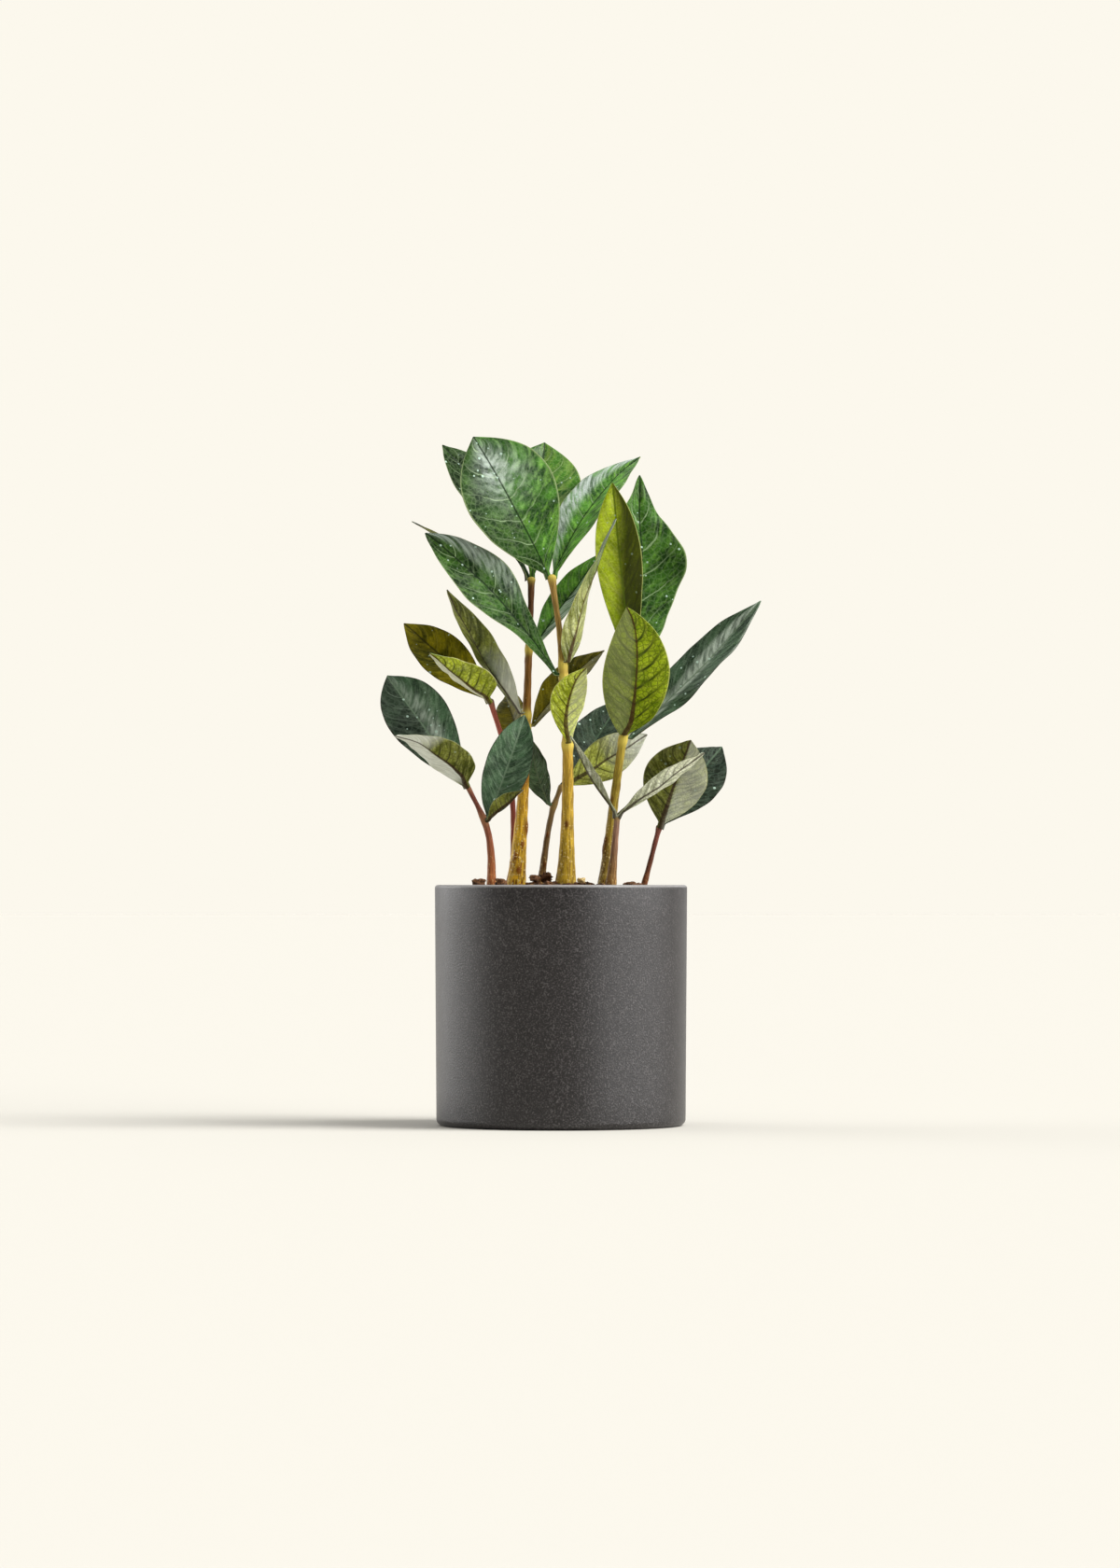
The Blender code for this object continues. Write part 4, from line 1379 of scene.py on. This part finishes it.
@dataclass
class Stalk:
    """One stem: a tapering fleshy rod with a swollen joint under each leaflet and corky scabs.

    joint_drop is how far under its leaflet a joint sits, and pattern_radius the radius in
    millimetres round which every rind's pattern is laid.
    """

    name: str
    solid: Solid
    rind: Rind
    joints: list[float]
    soil_line: float
    slot: str
    sides: int = 28
    row_gap: float = 1.1 * MM
    joint_swell: float = 0.5 * MM
    joint_spread: float = 2.7 * MM
    joint_drop: float = 0.8 * MM
    foot_spread: float = 5 * MM
    ring_gap: float = 9 * MM
    ring_height: float = 0.05 * MM
    scab_height: float = 0.5 * MM
    pattern_radius: float = 3.0
    scabs_per_metre: float = 90.0

    def measure(self, count: int = 15) -> tuple[np.ndarray, np.ndarray, np.ndarray]:
        """Measures the stem's middle line and radius.

        Args:
            count: How many heights are measured.

        Returns:
            The heights, the middle at each and the radius at each.
        """
        low, high = self.solid.points[:, 2].min(), self.solid.points[:, 2].max()
        heights = np.linspace(low + 0.4 * MM, high - 0.8 * MM, count)
        middles, radii = [], []
        up = np.array([0.0, 0.0, 1.0])
        for height in heights:
            ring = self.solid.section(np.array([0.0, 0.0, height]), up).reshape(-1, 3)
            middle = (ring.min(axis=0) + ring.max(axis=0)) / 2
            middles.append(middle)
            radii.append(np.linalg.norm(ring - middle, axis=1).mean())
        return heights, np.array(middles), np.array(radii)

    def build(self) -> bpy.types.Object:
        """Builds the stem's mesh and its own coordinates.

        Returns:
            The stem as one closed object.
        """
        rng = random.Random(self.name)
        heights, middles, radii = self.measure()
        rows = int((heights[-1] - heights[0]) / self.row_gap)
        wanted = np.linspace(heights[0], heights[-1], rows)
        middle = smooth_along(heights, middles, wanted)
        radius = smooth_along(heights, radii[:, None], wanted)[:, 0]
        joint = np.zeros(rows)
        for height in self.joints:
            gap = (wanted - height + self.joint_drop) / self.joint_spread
            joint = np.maximum(joint, np.exp(-(gap**2)))
        swell = self.joint_swell * joint * np.clip(radius / (2 * MM), 0.6, 1.2)
        foot = np.exp(-(((wanted - self.soil_line) / self.foot_spread) ** 2)) * 0.08 * radius
        radius = radius + swell + foot
        angles = np.linspace(0, TURN, self.sides, endpoint=False)
        # Growth rings: a faint swelling of the radius.
        rings = self.ring_height * np.sin(wanted / self.ring_gap * TURN + rng.uniform(0, 6))
        around = radius[:, None] + rings[:, None]
        around = around * (1 + 0.015 * np.sin(angles * 5 + rng.uniform(0, 6))[None])
        above = heights[-1] - self.soil_line
        scab = self.scabbed(rng, above, wanted, angles, radius)
        around = around + self.scab_height * scab**2
        ring = np.stack([np.cos(angles), np.sin(angles), np.zeros(self.sides)], axis=1)
        body = middle[:, None] + ring[None] * around[..., None]
        domes = []
        for share in (0.55, 0.85, 0.98):
            lift = np.array([0, 0, 0.7 * radius[-1] * share])
            domes.append(middle[-1] + lift + ring * around[-1][:, None] * math.sqrt(1 - share**2))
        body = np.concatenate([body, np.array(domes)])
        rows += len(domes)
        faces = [
            [
                i * self.sides + j,
                i * self.sides + (j + 1) % self.sides,
                (i + 1) * self.sides + (j + 1) % self.sides,
                (i + 1) * self.sides + j,
            ]
            for i in range(rows - 1)
            for j in range(self.sides)
        ]
        faces.append(list(range(self.sides))[::-1])
        faces.append([(rows - 1) * self.sides + j for j in range(self.sides)])
        piece = new_object(self.name.replace("stem_", "stalk_"), list(body.reshape(-1, 3)), faces)
        share = np.clip((body[..., 2] - self.soil_line) / above, 0, 1)
        joint = np.pad(joint, (0, len(domes)), mode="edge")[:, None]
        scab = np.pad(scab, ((0, len(domes)), (0, 0)), mode="edge")
        give_attribute(piece, "stalk", np.stack(np.broadcast_arrays(share, joint, scab), axis=-1))
        shape = share.shape
        flat = np.stack(
            [
                np.broadcast_to(np.cos(angles) * self.pattern_radius, shape),
                (body[..., 2] - self.soil_line) / MM,
                np.broadcast_to(np.sin(angles) * self.pattern_radius, shape),
            ],
            axis=-1,
        )
        give_attribute(piece, "stalk_mm", flat)
        return piece

    def scabbed(
        self,
        rng: random.Random,
        above: float,
        wanted: np.ndarray,
        angles: np.ndarray,
        radius: np.ndarray,
    ) -> np.ndarray:
        """Lays corky scabs on the rind: the rind's own, and small ones all over where it is corky.

        Args:
            rng: Where the small scabs' places and sizes are drawn from.
            above: How far the stem stands out of the mix.
            wanted: The height of each row of points.
            angles: The turn of each point round the stem.
            radius: The stem's radius at each row.

        Returns:
            The scabs' strength by row and point, 0 to 1.
        """
        spots = [
            (self.soil_line + height * MM, math.radians(turn), size * MM, 1.0)
            for height, turn, size in self.rind.scabs
        ]
        if self.rind.corky:
            spots += [
                (
                    self.soil_line + above * rng.random() ** 1.6,
                    rng.uniform(0, TURN),
                    rng.uniform(0.4, 1.5) * MM,
                    rng.uniform(0.4, 0.9),
                )
                for _ in range(int(above * self.scabs_per_metre))
            ]
        scab = np.zeros((len(wanted), self.sides))
        for height, angle, size, strength in spots:
            turn = (angles - angle + math.pi) % TURN - math.pi
            gap = np.hypot(turn[None] * radius[:, None], (wanted - height)[:, None] * 0.6)
            scab = np.maximum(scab, np.clip(1.5 - gap / size, 0, 1) * strength)
        return scab


@dataclass
class Stems:
    """All of the plant's stems."""

    nodes: dict[str, bpy.types.Object]
    slots: dict[str, str]
    joints: dict[str, list[float]]
    soil_line: float

    def make(self) -> None:
        """Builds and dresses each stem."""
        for name, rind in STEM_RINDS.items():
            solid, joints = Solid.of(self.nodes[name]), self.joints.get(name, [])
            stalk = Stalk(name, solid, rind, joints, self.soil_line, self.slots[name])
            piece = stalk.build()
            piece.data.materials.append(rind.material())
            settle(piece, stalk.slot, name)


# The pot and what fills it


@dataclass
class Pot:
    """The straight-sided stoneware pot, turned from its profile."""

    wall: float = 4.5 * MM
    floor: float = 7 * MM
    draft: float = 0.8 * MM
    rim_round: float = 1.6 * MM
    foot_round: float = 3.5 * MM
    steps: int = 192

    def profile(self, radius: float, height: float) -> list[tuple[float, float]]:
        """The pot's profile as (radius, height) points, from the inside's middle to the foot's.

        Args:
            radius: The rim's outer radius.
            height: The pot's height.

        Returns:
            The points in order.
        """

        def arc(r: float, z: float, size: float, start: float, end: float, steps: int) -> list:
            """Points on an arc about (r, z), from one angle to the other in degrees."""
            turns = [math.radians(start + (end - start) * i / steps) for i in range(steps + 1)]
            return [(r + size * math.cos(a), z + size * math.sin(a)) for a in turns]

        foot = radius - self.draft
        inside = radius - self.wall - self.draft
        points = [(0.0, self.floor)]
        hollow = self.foot_round
        points += arc(inside - hollow, self.floor + hollow, hollow, -90, 0, 6)
        rim = height - self.rim_round
        points += arc(radius - self.wall + self.rim_round, rim, self.rim_round, 180, 90, 8)
        points += arc(radius - self.rim_round, rim, self.rim_round, 90, 0, 8)
        points += [
            (foot + self.draft * share, self.foot_round + (rim - self.foot_round) * share)
            for share in (0.85, 0.6, 0.35, 0.12)
        ]
        points += arc(foot - self.foot_round, self.foot_round, self.foot_round, 0, -90, 8)
        points.append((0.0, 0.0))
        return points

    def make(self, slots: dict[str, str]) -> None:
        """Turns the pot, glazes it and sets it in place of its solid.

        Args:
            slots: The record's slot for each node.
        """
        low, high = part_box("pot")
        profile = self.profile((high[0] - low[0]) / 2, high[2])
        turned = bmesh.new()
        points = [turned.verts.new((r, 0, z)) for r, z in profile]
        edges = [turned.edges.new(pair) for pair in zip(points, points[1:])]
        bmesh.ops.spin(
            turned, geom=points + edges, axis=(0, 0, 1), cent=(0, 0, 0), angle=TURN, steps=self.steps
        )
        bmesh.ops.remove_doubles(turned, verts=turned.verts, dist=0.01 * MM)
        bmesh.ops.recalc_face_normals(turned, faces=turned.faces)
        mesh = bpy.data.meshes.new("glazed_pot")
        turned.to_mesh(mesh)
        turned.free()
        mesh.shade_smooth()
        mesh.materials.append(StonewareGlaze().material(high[2]))
        settle(placed("glazed_pot", mesh), slots["pot"], "pot")


@dataclass
class Mix:
    """The potting mix: a heaped, crumbly surface with bark, husk and perlite bits lying on it.

    crumb_waves are how many crumbs of each size lie in a metre and how much each size counts.
    clearance is how far from the wall the loose bits keep.
    """

    rings: int = 64
    spokes: int = 220
    crumb: float = 1.3 * MM
    crumb_waves: tuple[tuple[float, float], ...] = ((520, 1.0), (1300, 0.6), (190, 0.7))
    clearance: float = 3.5 * MM
    seed: int = 7
    bark: Mulch = Mulch("composted_bark_crumb", "#2a1b11", "#573a22", "#120b07", 1.4)
    chips: Mulch = Mulch("pine_bark_chip", "#3a2212", "#7f5530", "#140b06", 1.1)
    husk: Mulch = Mulch("coir_husk_fibre", "#74502a", "#b98f50", "#3a2512", 0.9)
    stone: Mulch = Mulch("golden_perlite", "#c99a48", "#ecd391", "#7e5420", 1.0, 0.8)

    def surface_height(self, x: float, y: float, profile: tuple[np.ndarray, np.ndarray]) -> float:
        """The smooth surface's height at a place, read from the heap's radii and heights."""
        return float(np.interp(math.hypot(x, y), *profile))

    def measured_profile(self, solid: Solid) -> tuple[np.ndarray, np.ndarray]:
        """Reads the heap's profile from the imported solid.

        Args:
            solid: The potting mix's solid.

        Returns:
            Radii and the surface's height at each.
        """
        reach = np.hypot(solid.points[:, 0], solid.points[:, 1])
        wall = reach.max()
        radii, heights = [], []
        for share in np.linspace(0, 1, 7):
            ring = np.abs(reach - wall * share) < wall * 0.02
            if ring.any():
                radii.append(wall * share)
                heights.append(solid.points[ring, 2].max())
        return np.array(radii), np.array(heights)

    def lump(self, rng: random.Random, size: tuple[float, float, float]) -> tuple[list, list]:
        """A rough lump of the given size about the origin.

        Args:
            rng: Where its roughness is drawn from.
            size: Its length, width and height in metres.

        Returns:
            Its points and its triangles.
        """
        ball = bmesh.new()
        bmesh.ops.create_icosphere(ball, subdivisions=3, radius=1)
        shift = Vector([rng.uniform(-50, 50) for _ in range(3)])
        shaped = []
        for vertex in ball.verts:
            co = vertex.co
            # A slab, squared off a little, split by a coarse noise and chipped by two finer ones.
            square = np.array([math.copysign(abs(c) ** 0.8, c) for c in co])
            rough = 1 + 0.6 * noise.noise(co * 1.3 + shift) + 0.36 * noise.noise(co * 3.1 + shift)
            shaped.append(square * (rough + 0.2 * noise.noise(co * 7 + shift)))
        points = np.array(shaped)
        low, high = points.min(axis=0), points.max(axis=0)
        points = (points - (low + high) / 2) / (high - low) * np.array(size)
        ball.verts.index_update()
        faces = [[v.index for v in f.verts] for f in ball.faces]
        ball.free()
        return points, faces

    def make(self, nodes: dict[str, bpy.types.Object], slots: dict[str, str]) -> None:
        """Builds the surface, the loose bits and the larger chips.

        Args:
            nodes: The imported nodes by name.
            slots: The record's slot for each node.
        """
        solid = Solid.of(nodes["potting_mix"])
        profile = self.measured_profile(solid)
        slot = slots["potting_mix"]
        self.make_surface(solid, profile, slot)
        rng = random.Random(self.seed)
        for name, count, sizes, finish in (
            ("bark_bits", 330, (2.0, 5.5), self.chips),
            ("husk_bits", 90, (1.5, 4.0), self.husk),
            ("perlite_bits", 34, (1.2, 2.8), self.stone),
        ):
            self.scatter(name, count, sizes, finish, profile, rng, slot)
        dressed = {kind: kind.material() for kind in (self.chips, self.stone)}
        for name in sorted(n for n in nodes if n.startswith("chip_")):
            low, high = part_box(name)
            size = tuple(h - l for l, h in zip(low, high))
            points, faces = self.lump(random.Random(name), size)
            centre = [(l + h) / 2 for l, h in zip(low, high)]
            points = [tuple(p + c for p, c in zip(point, centre)) for point in points]
            piece = new_object(name.replace("chip_", "bark_lump_"), points, faces)
            piece.data.materials.append(dressed[self.stone if name == "chip_golden" else self.chips])
            settle(piece, slots[name], name)

    def make_surface(self, solid: Solid, profile: tuple[np.ndarray, np.ndarray], slot: str) -> None:
        """Builds the crumbly heap as a closed body down to the pot's floor.

        Args:
            solid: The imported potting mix.
            profile: Its measured radii and heights.
            slot: The record's slot.
        """
        wall = profile[0][-1]
        low = solid.points[:, 2].min()
        vertices = [(0.0, 0.0, float(profile[1][0]))]
        for i in range(1, self.rings + 1):
            reach = wall * i / self.rings
            for j in range(self.spokes):
                turn = TURN * j / self.spokes
                x, y = reach * math.cos(turn), reach * math.sin(turn)
                height = self.surface_height(x, y, profile)
                spot = Vector((x, y, 0.3))
                crumbs = sum(share * noise.noise(spot * wave) for wave, share in self.crumb_waves)
                # The last ring stays smooth, where the heap meets the wall.
                rise = self.crumb * 0.6 * (crumbs - 0.35) * (i < self.rings)
                vertices.append((x, y, height + rise))
        base = len(vertices)
        vertices += [(x * 0.97, y * 0.97, low) for x, y, _ in vertices[-self.spokes :]]
        faces = [[0, 1 + j, 1 + (j + 1) % self.spokes] for j in range(self.spokes)]
        for i in range(self.rings):
            inner = 1 + i * self.spokes
            outer = inner + self.spokes
            for j in range(self.spokes):
                k = (j + 1) % self.spokes
                faces.append([inner + j, outer + j, outer + k, inner + k])
        faces.append([base + j for j in range(self.spokes)][::-1])
        piece = new_object("crumbly_mix", vertices, faces)
        piece.data.materials.append(self.bark.material())
        settle(piece, slot, "potting_mix")

    def scatter(
        self,
        name: str,
        count: int,
        sizes: tuple[float, float],
        finish: Mulch,
        profile: tuple[np.ndarray, np.ndarray],
        rng: random.Random,
        slot: str,
    ) -> None:
        """Strews bits of one kind over the heap as one piece.

        Args:
            name: The piece's name.
            count: How many bits.
            sizes: The least and greatest length of a bit in millimetres.
            finish: What the bits are.
            profile: The heap's radii and heights.
            rng: Where places and shapes are drawn from.
            slot: The record's slot.
        """
        wall = profile[0][-1]
        kinds = [self.lump(rng, (1.0, rng.uniform(0.5, 0.9), rng.uniform(0.25, 0.6))) for _ in range(6)]
        vertices: list = []
        faces: list = []
        for _ in range(count):
            reach, turn = (wall - self.clearance) * math.sqrt(rng.random()), rng.uniform(0, TURN)
            x, y = reach * math.cos(turn), reach * math.sin(turn)
            size = rng.uniform(*sizes) * MM
            height = self.surface_height(x, y, profile) + size * rng.uniform(-0.05, 0.12)
            tilt = Matrix.Rotation(rng.uniform(-0.5, 0.5), 4, "X")
            tilt = tilt @ Matrix.Rotation(rng.uniform(*ANY_PHASE), 4, "Z")
            place = Matrix.Translation((x, y, height)) @ tilt @ Matrix.Scale(size, 4)
            points, lump_faces = kinds[rng.randrange(len(kinds))]
            start = len(vertices)
            vertices += [tuple(place @ Vector(p)) for p in points]
            faces += [[start + k for k in face] for face in lump_faces]
        piece = new_object(name, vertices, faces)
        piece.data.materials.append(finish.material())
        settle(piece, slot)


# The studio


@dataclass(frozen=True)
class Glow:
    """A soft box far off: where it stands, how wide it is and how bright."""

    towards: tuple[float, float, float]
    outer: float
    inner: float
    strength: float


@dataclass
class Studio:
    """A pale floor under soft light, with the camera level with the pot's rim.

    aim_rise is how far above the rim the camera looks, and floor_tone is linear.
    """

    paper: str = "#fcf8ed"
    floor_tone: tuple[float, float, float] = (0.655, 0.631, 0.569)
    floor_size: float = 40.0
    distance: float = 2.8
    sideways: float = -0.5 * MM
    aim_rise: float = 50.8 * MM
    lens: float = 127.65
    sensor: float = 36.0
    sight: float = 200.0
    ambient: float = 0.02
    key_strength: float = 2.35
    key_from: tuple[float, float, float] = (0.85, -0.22, 1.3)
    key_angle: float = 26.0
    glows: tuple[Glow, ...] = (
        Glow((0.0, 1.0, 0.1), 80.0, 45.0, 0.6),
        Glow((0.92, -0.36, 0.06), 50.0, 22.0, 4.2),
        Glow((-0.94, 0.34, 0.04), 42.0, 15.0, 3.5),
        Glow((-0.05, -0.2, 1.0), 36.0, 12.0, 1.3),
    )

    def make_camera(self, rim: float) -> None:
        """Sets the camera level with the rim, tipped up a little to take in the plant.

        Args:
            rim: The height of the pot's rim.
        """
        data = bpy.data.cameras.new("camera")
        data.lens = self.lens
        data.sensor_width = self.sensor
        data.clip_end = self.sight
        camera = placed("camera", data)
        camera.location = (self.sideways, -self.distance, rim)
        aim = Vector((self.sideways, 0.0, rim + self.aim_rise)) - camera.location
        camera.rotation_euler = aim.to_track_quat("-Z", "Y").to_euler()
        bpy.context.scene.camera = camera

    def make_floor(self) -> None:
        """Lays the floor: one matte sheet of studio paper."""
        half = self.floor_size / 2
        corners = [(-half, -half, 0), (half, -half, 0), (half, half, 0), (-half, half, 0)]
        floor = new_object("studio_floor", corners, [[0, 1, 2, 3]])
        made, tree = blank_material("matte_studio_paper")
        finish_surface(
            tree,
            {"Base Color": (*self.floor_tone, 1.0), "Roughness": 1.0, "Specular IOR Level": 0.0},
            None,
            0.0,
        )
        floor.data.materials.append(made)

    def make_light(self) -> None:
        """Sets the sky: soft boxes all round, plain paper behind, and one soft key lamp."""
        world = bpy.data.worlds.new("studio")
        bpy.context.scene.world = world
        world.use_nodes = True
        tree = world.node_tree
        tree.nodes.clear()
        look = put(tree, "ShaderNodeTexCoord").outputs["Generated"]
        total: Socket | float = self.ambient
        for glow in self.glows:
            towards = tuple(Vector(glow.towards).normalized())
            facing = put(
                tree, "ShaderNodeVectorMath", {0: look, 1: towards}, operation="DOT_PRODUCT"
            ).outputs["Value"]
            bright = put(
                tree,
                "ShaderNodeMapRange",
                {
                    0: facing,
                    1: math.cos(math.radians(glow.outer)),
                    2: math.cos(math.radians(glow.inner)),
                    3: 0.0,
                    4: glow.strength,
                },
                interpolation_type="SMOOTHSTEP",
            ).outputs[0]
            total = put(tree, "ShaderNodeMath", {0: total, 1: bright}, operation="ADD").outputs[0]
        light = put(tree, "ShaderNodeBackground", {"Color": (1.0, 1.0, 1.0, 1.0), "Strength": total})
        paper = put(tree, "ShaderNodeBackground", {"Color": linear(self.paper), "Strength": 1.0})
        seen = put(tree, "ShaderNodeLightPath").outputs["Is Camera Ray"]
        both = put(tree, "ShaderNodeMixShader", {0: seen, 1: light.outputs[0], 2: paper.outputs[0]})
        put(tree, "ShaderNodeOutputWorld", {"Surface": both.outputs[0]})
        lamp = bpy.data.lights.new("key", "SUN")
        lamp.energy = self.key_strength
        lamp.angle = math.radians(self.key_angle)
        key = placed("key", lamp)
        key.rotation_euler = Vector(self.key_from).to_track_quat("Z", "Y").to_euler()
        bpy.context.scene.view_settings.view_transform = "Standard"


@dataclass
class PottedPlant:
    """The whole plant in its pot. heap_edge is how far under the heap's top the stems come out."""

    frame: dict
    heap_edge: float = 1.5 * MM

    def make(self) -> None:
        """Builds the pot, the mix, the leaflets and the stems in order."""
        nodes = self.frame["nodes"]
        slots = {part["node"]: part["material_slot"] for part in self.frame["record"]["subparts"]}
        Pot().make(slots)
        Mix().make(nodes, slots)
        trees = {name: Solid.of(node).tree() for name, node in nodes.items() if name.startswith("stem_")}
        foliage = Foliage(nodes, slots, trees)
        foliage.make()
        soil_line = float(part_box("potting_mix")[1][2]) - self.heap_edge
        Stems(nodes, slots, foliage.joints, soil_line).make()


def main() -> None:
    """Loads the frame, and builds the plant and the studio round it."""
    logging.basicConfig(level=logging.INFO, format="%(message)s")
    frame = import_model()
    studio = Studio()
    studio.make_camera(float(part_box("pot")[1][2]))
    PottedPlant(frame).make()
    studio.make_floor()
    studio.make_light()
    bpy.context.view_layer.update()


if __name__ == "__main__":
    main()
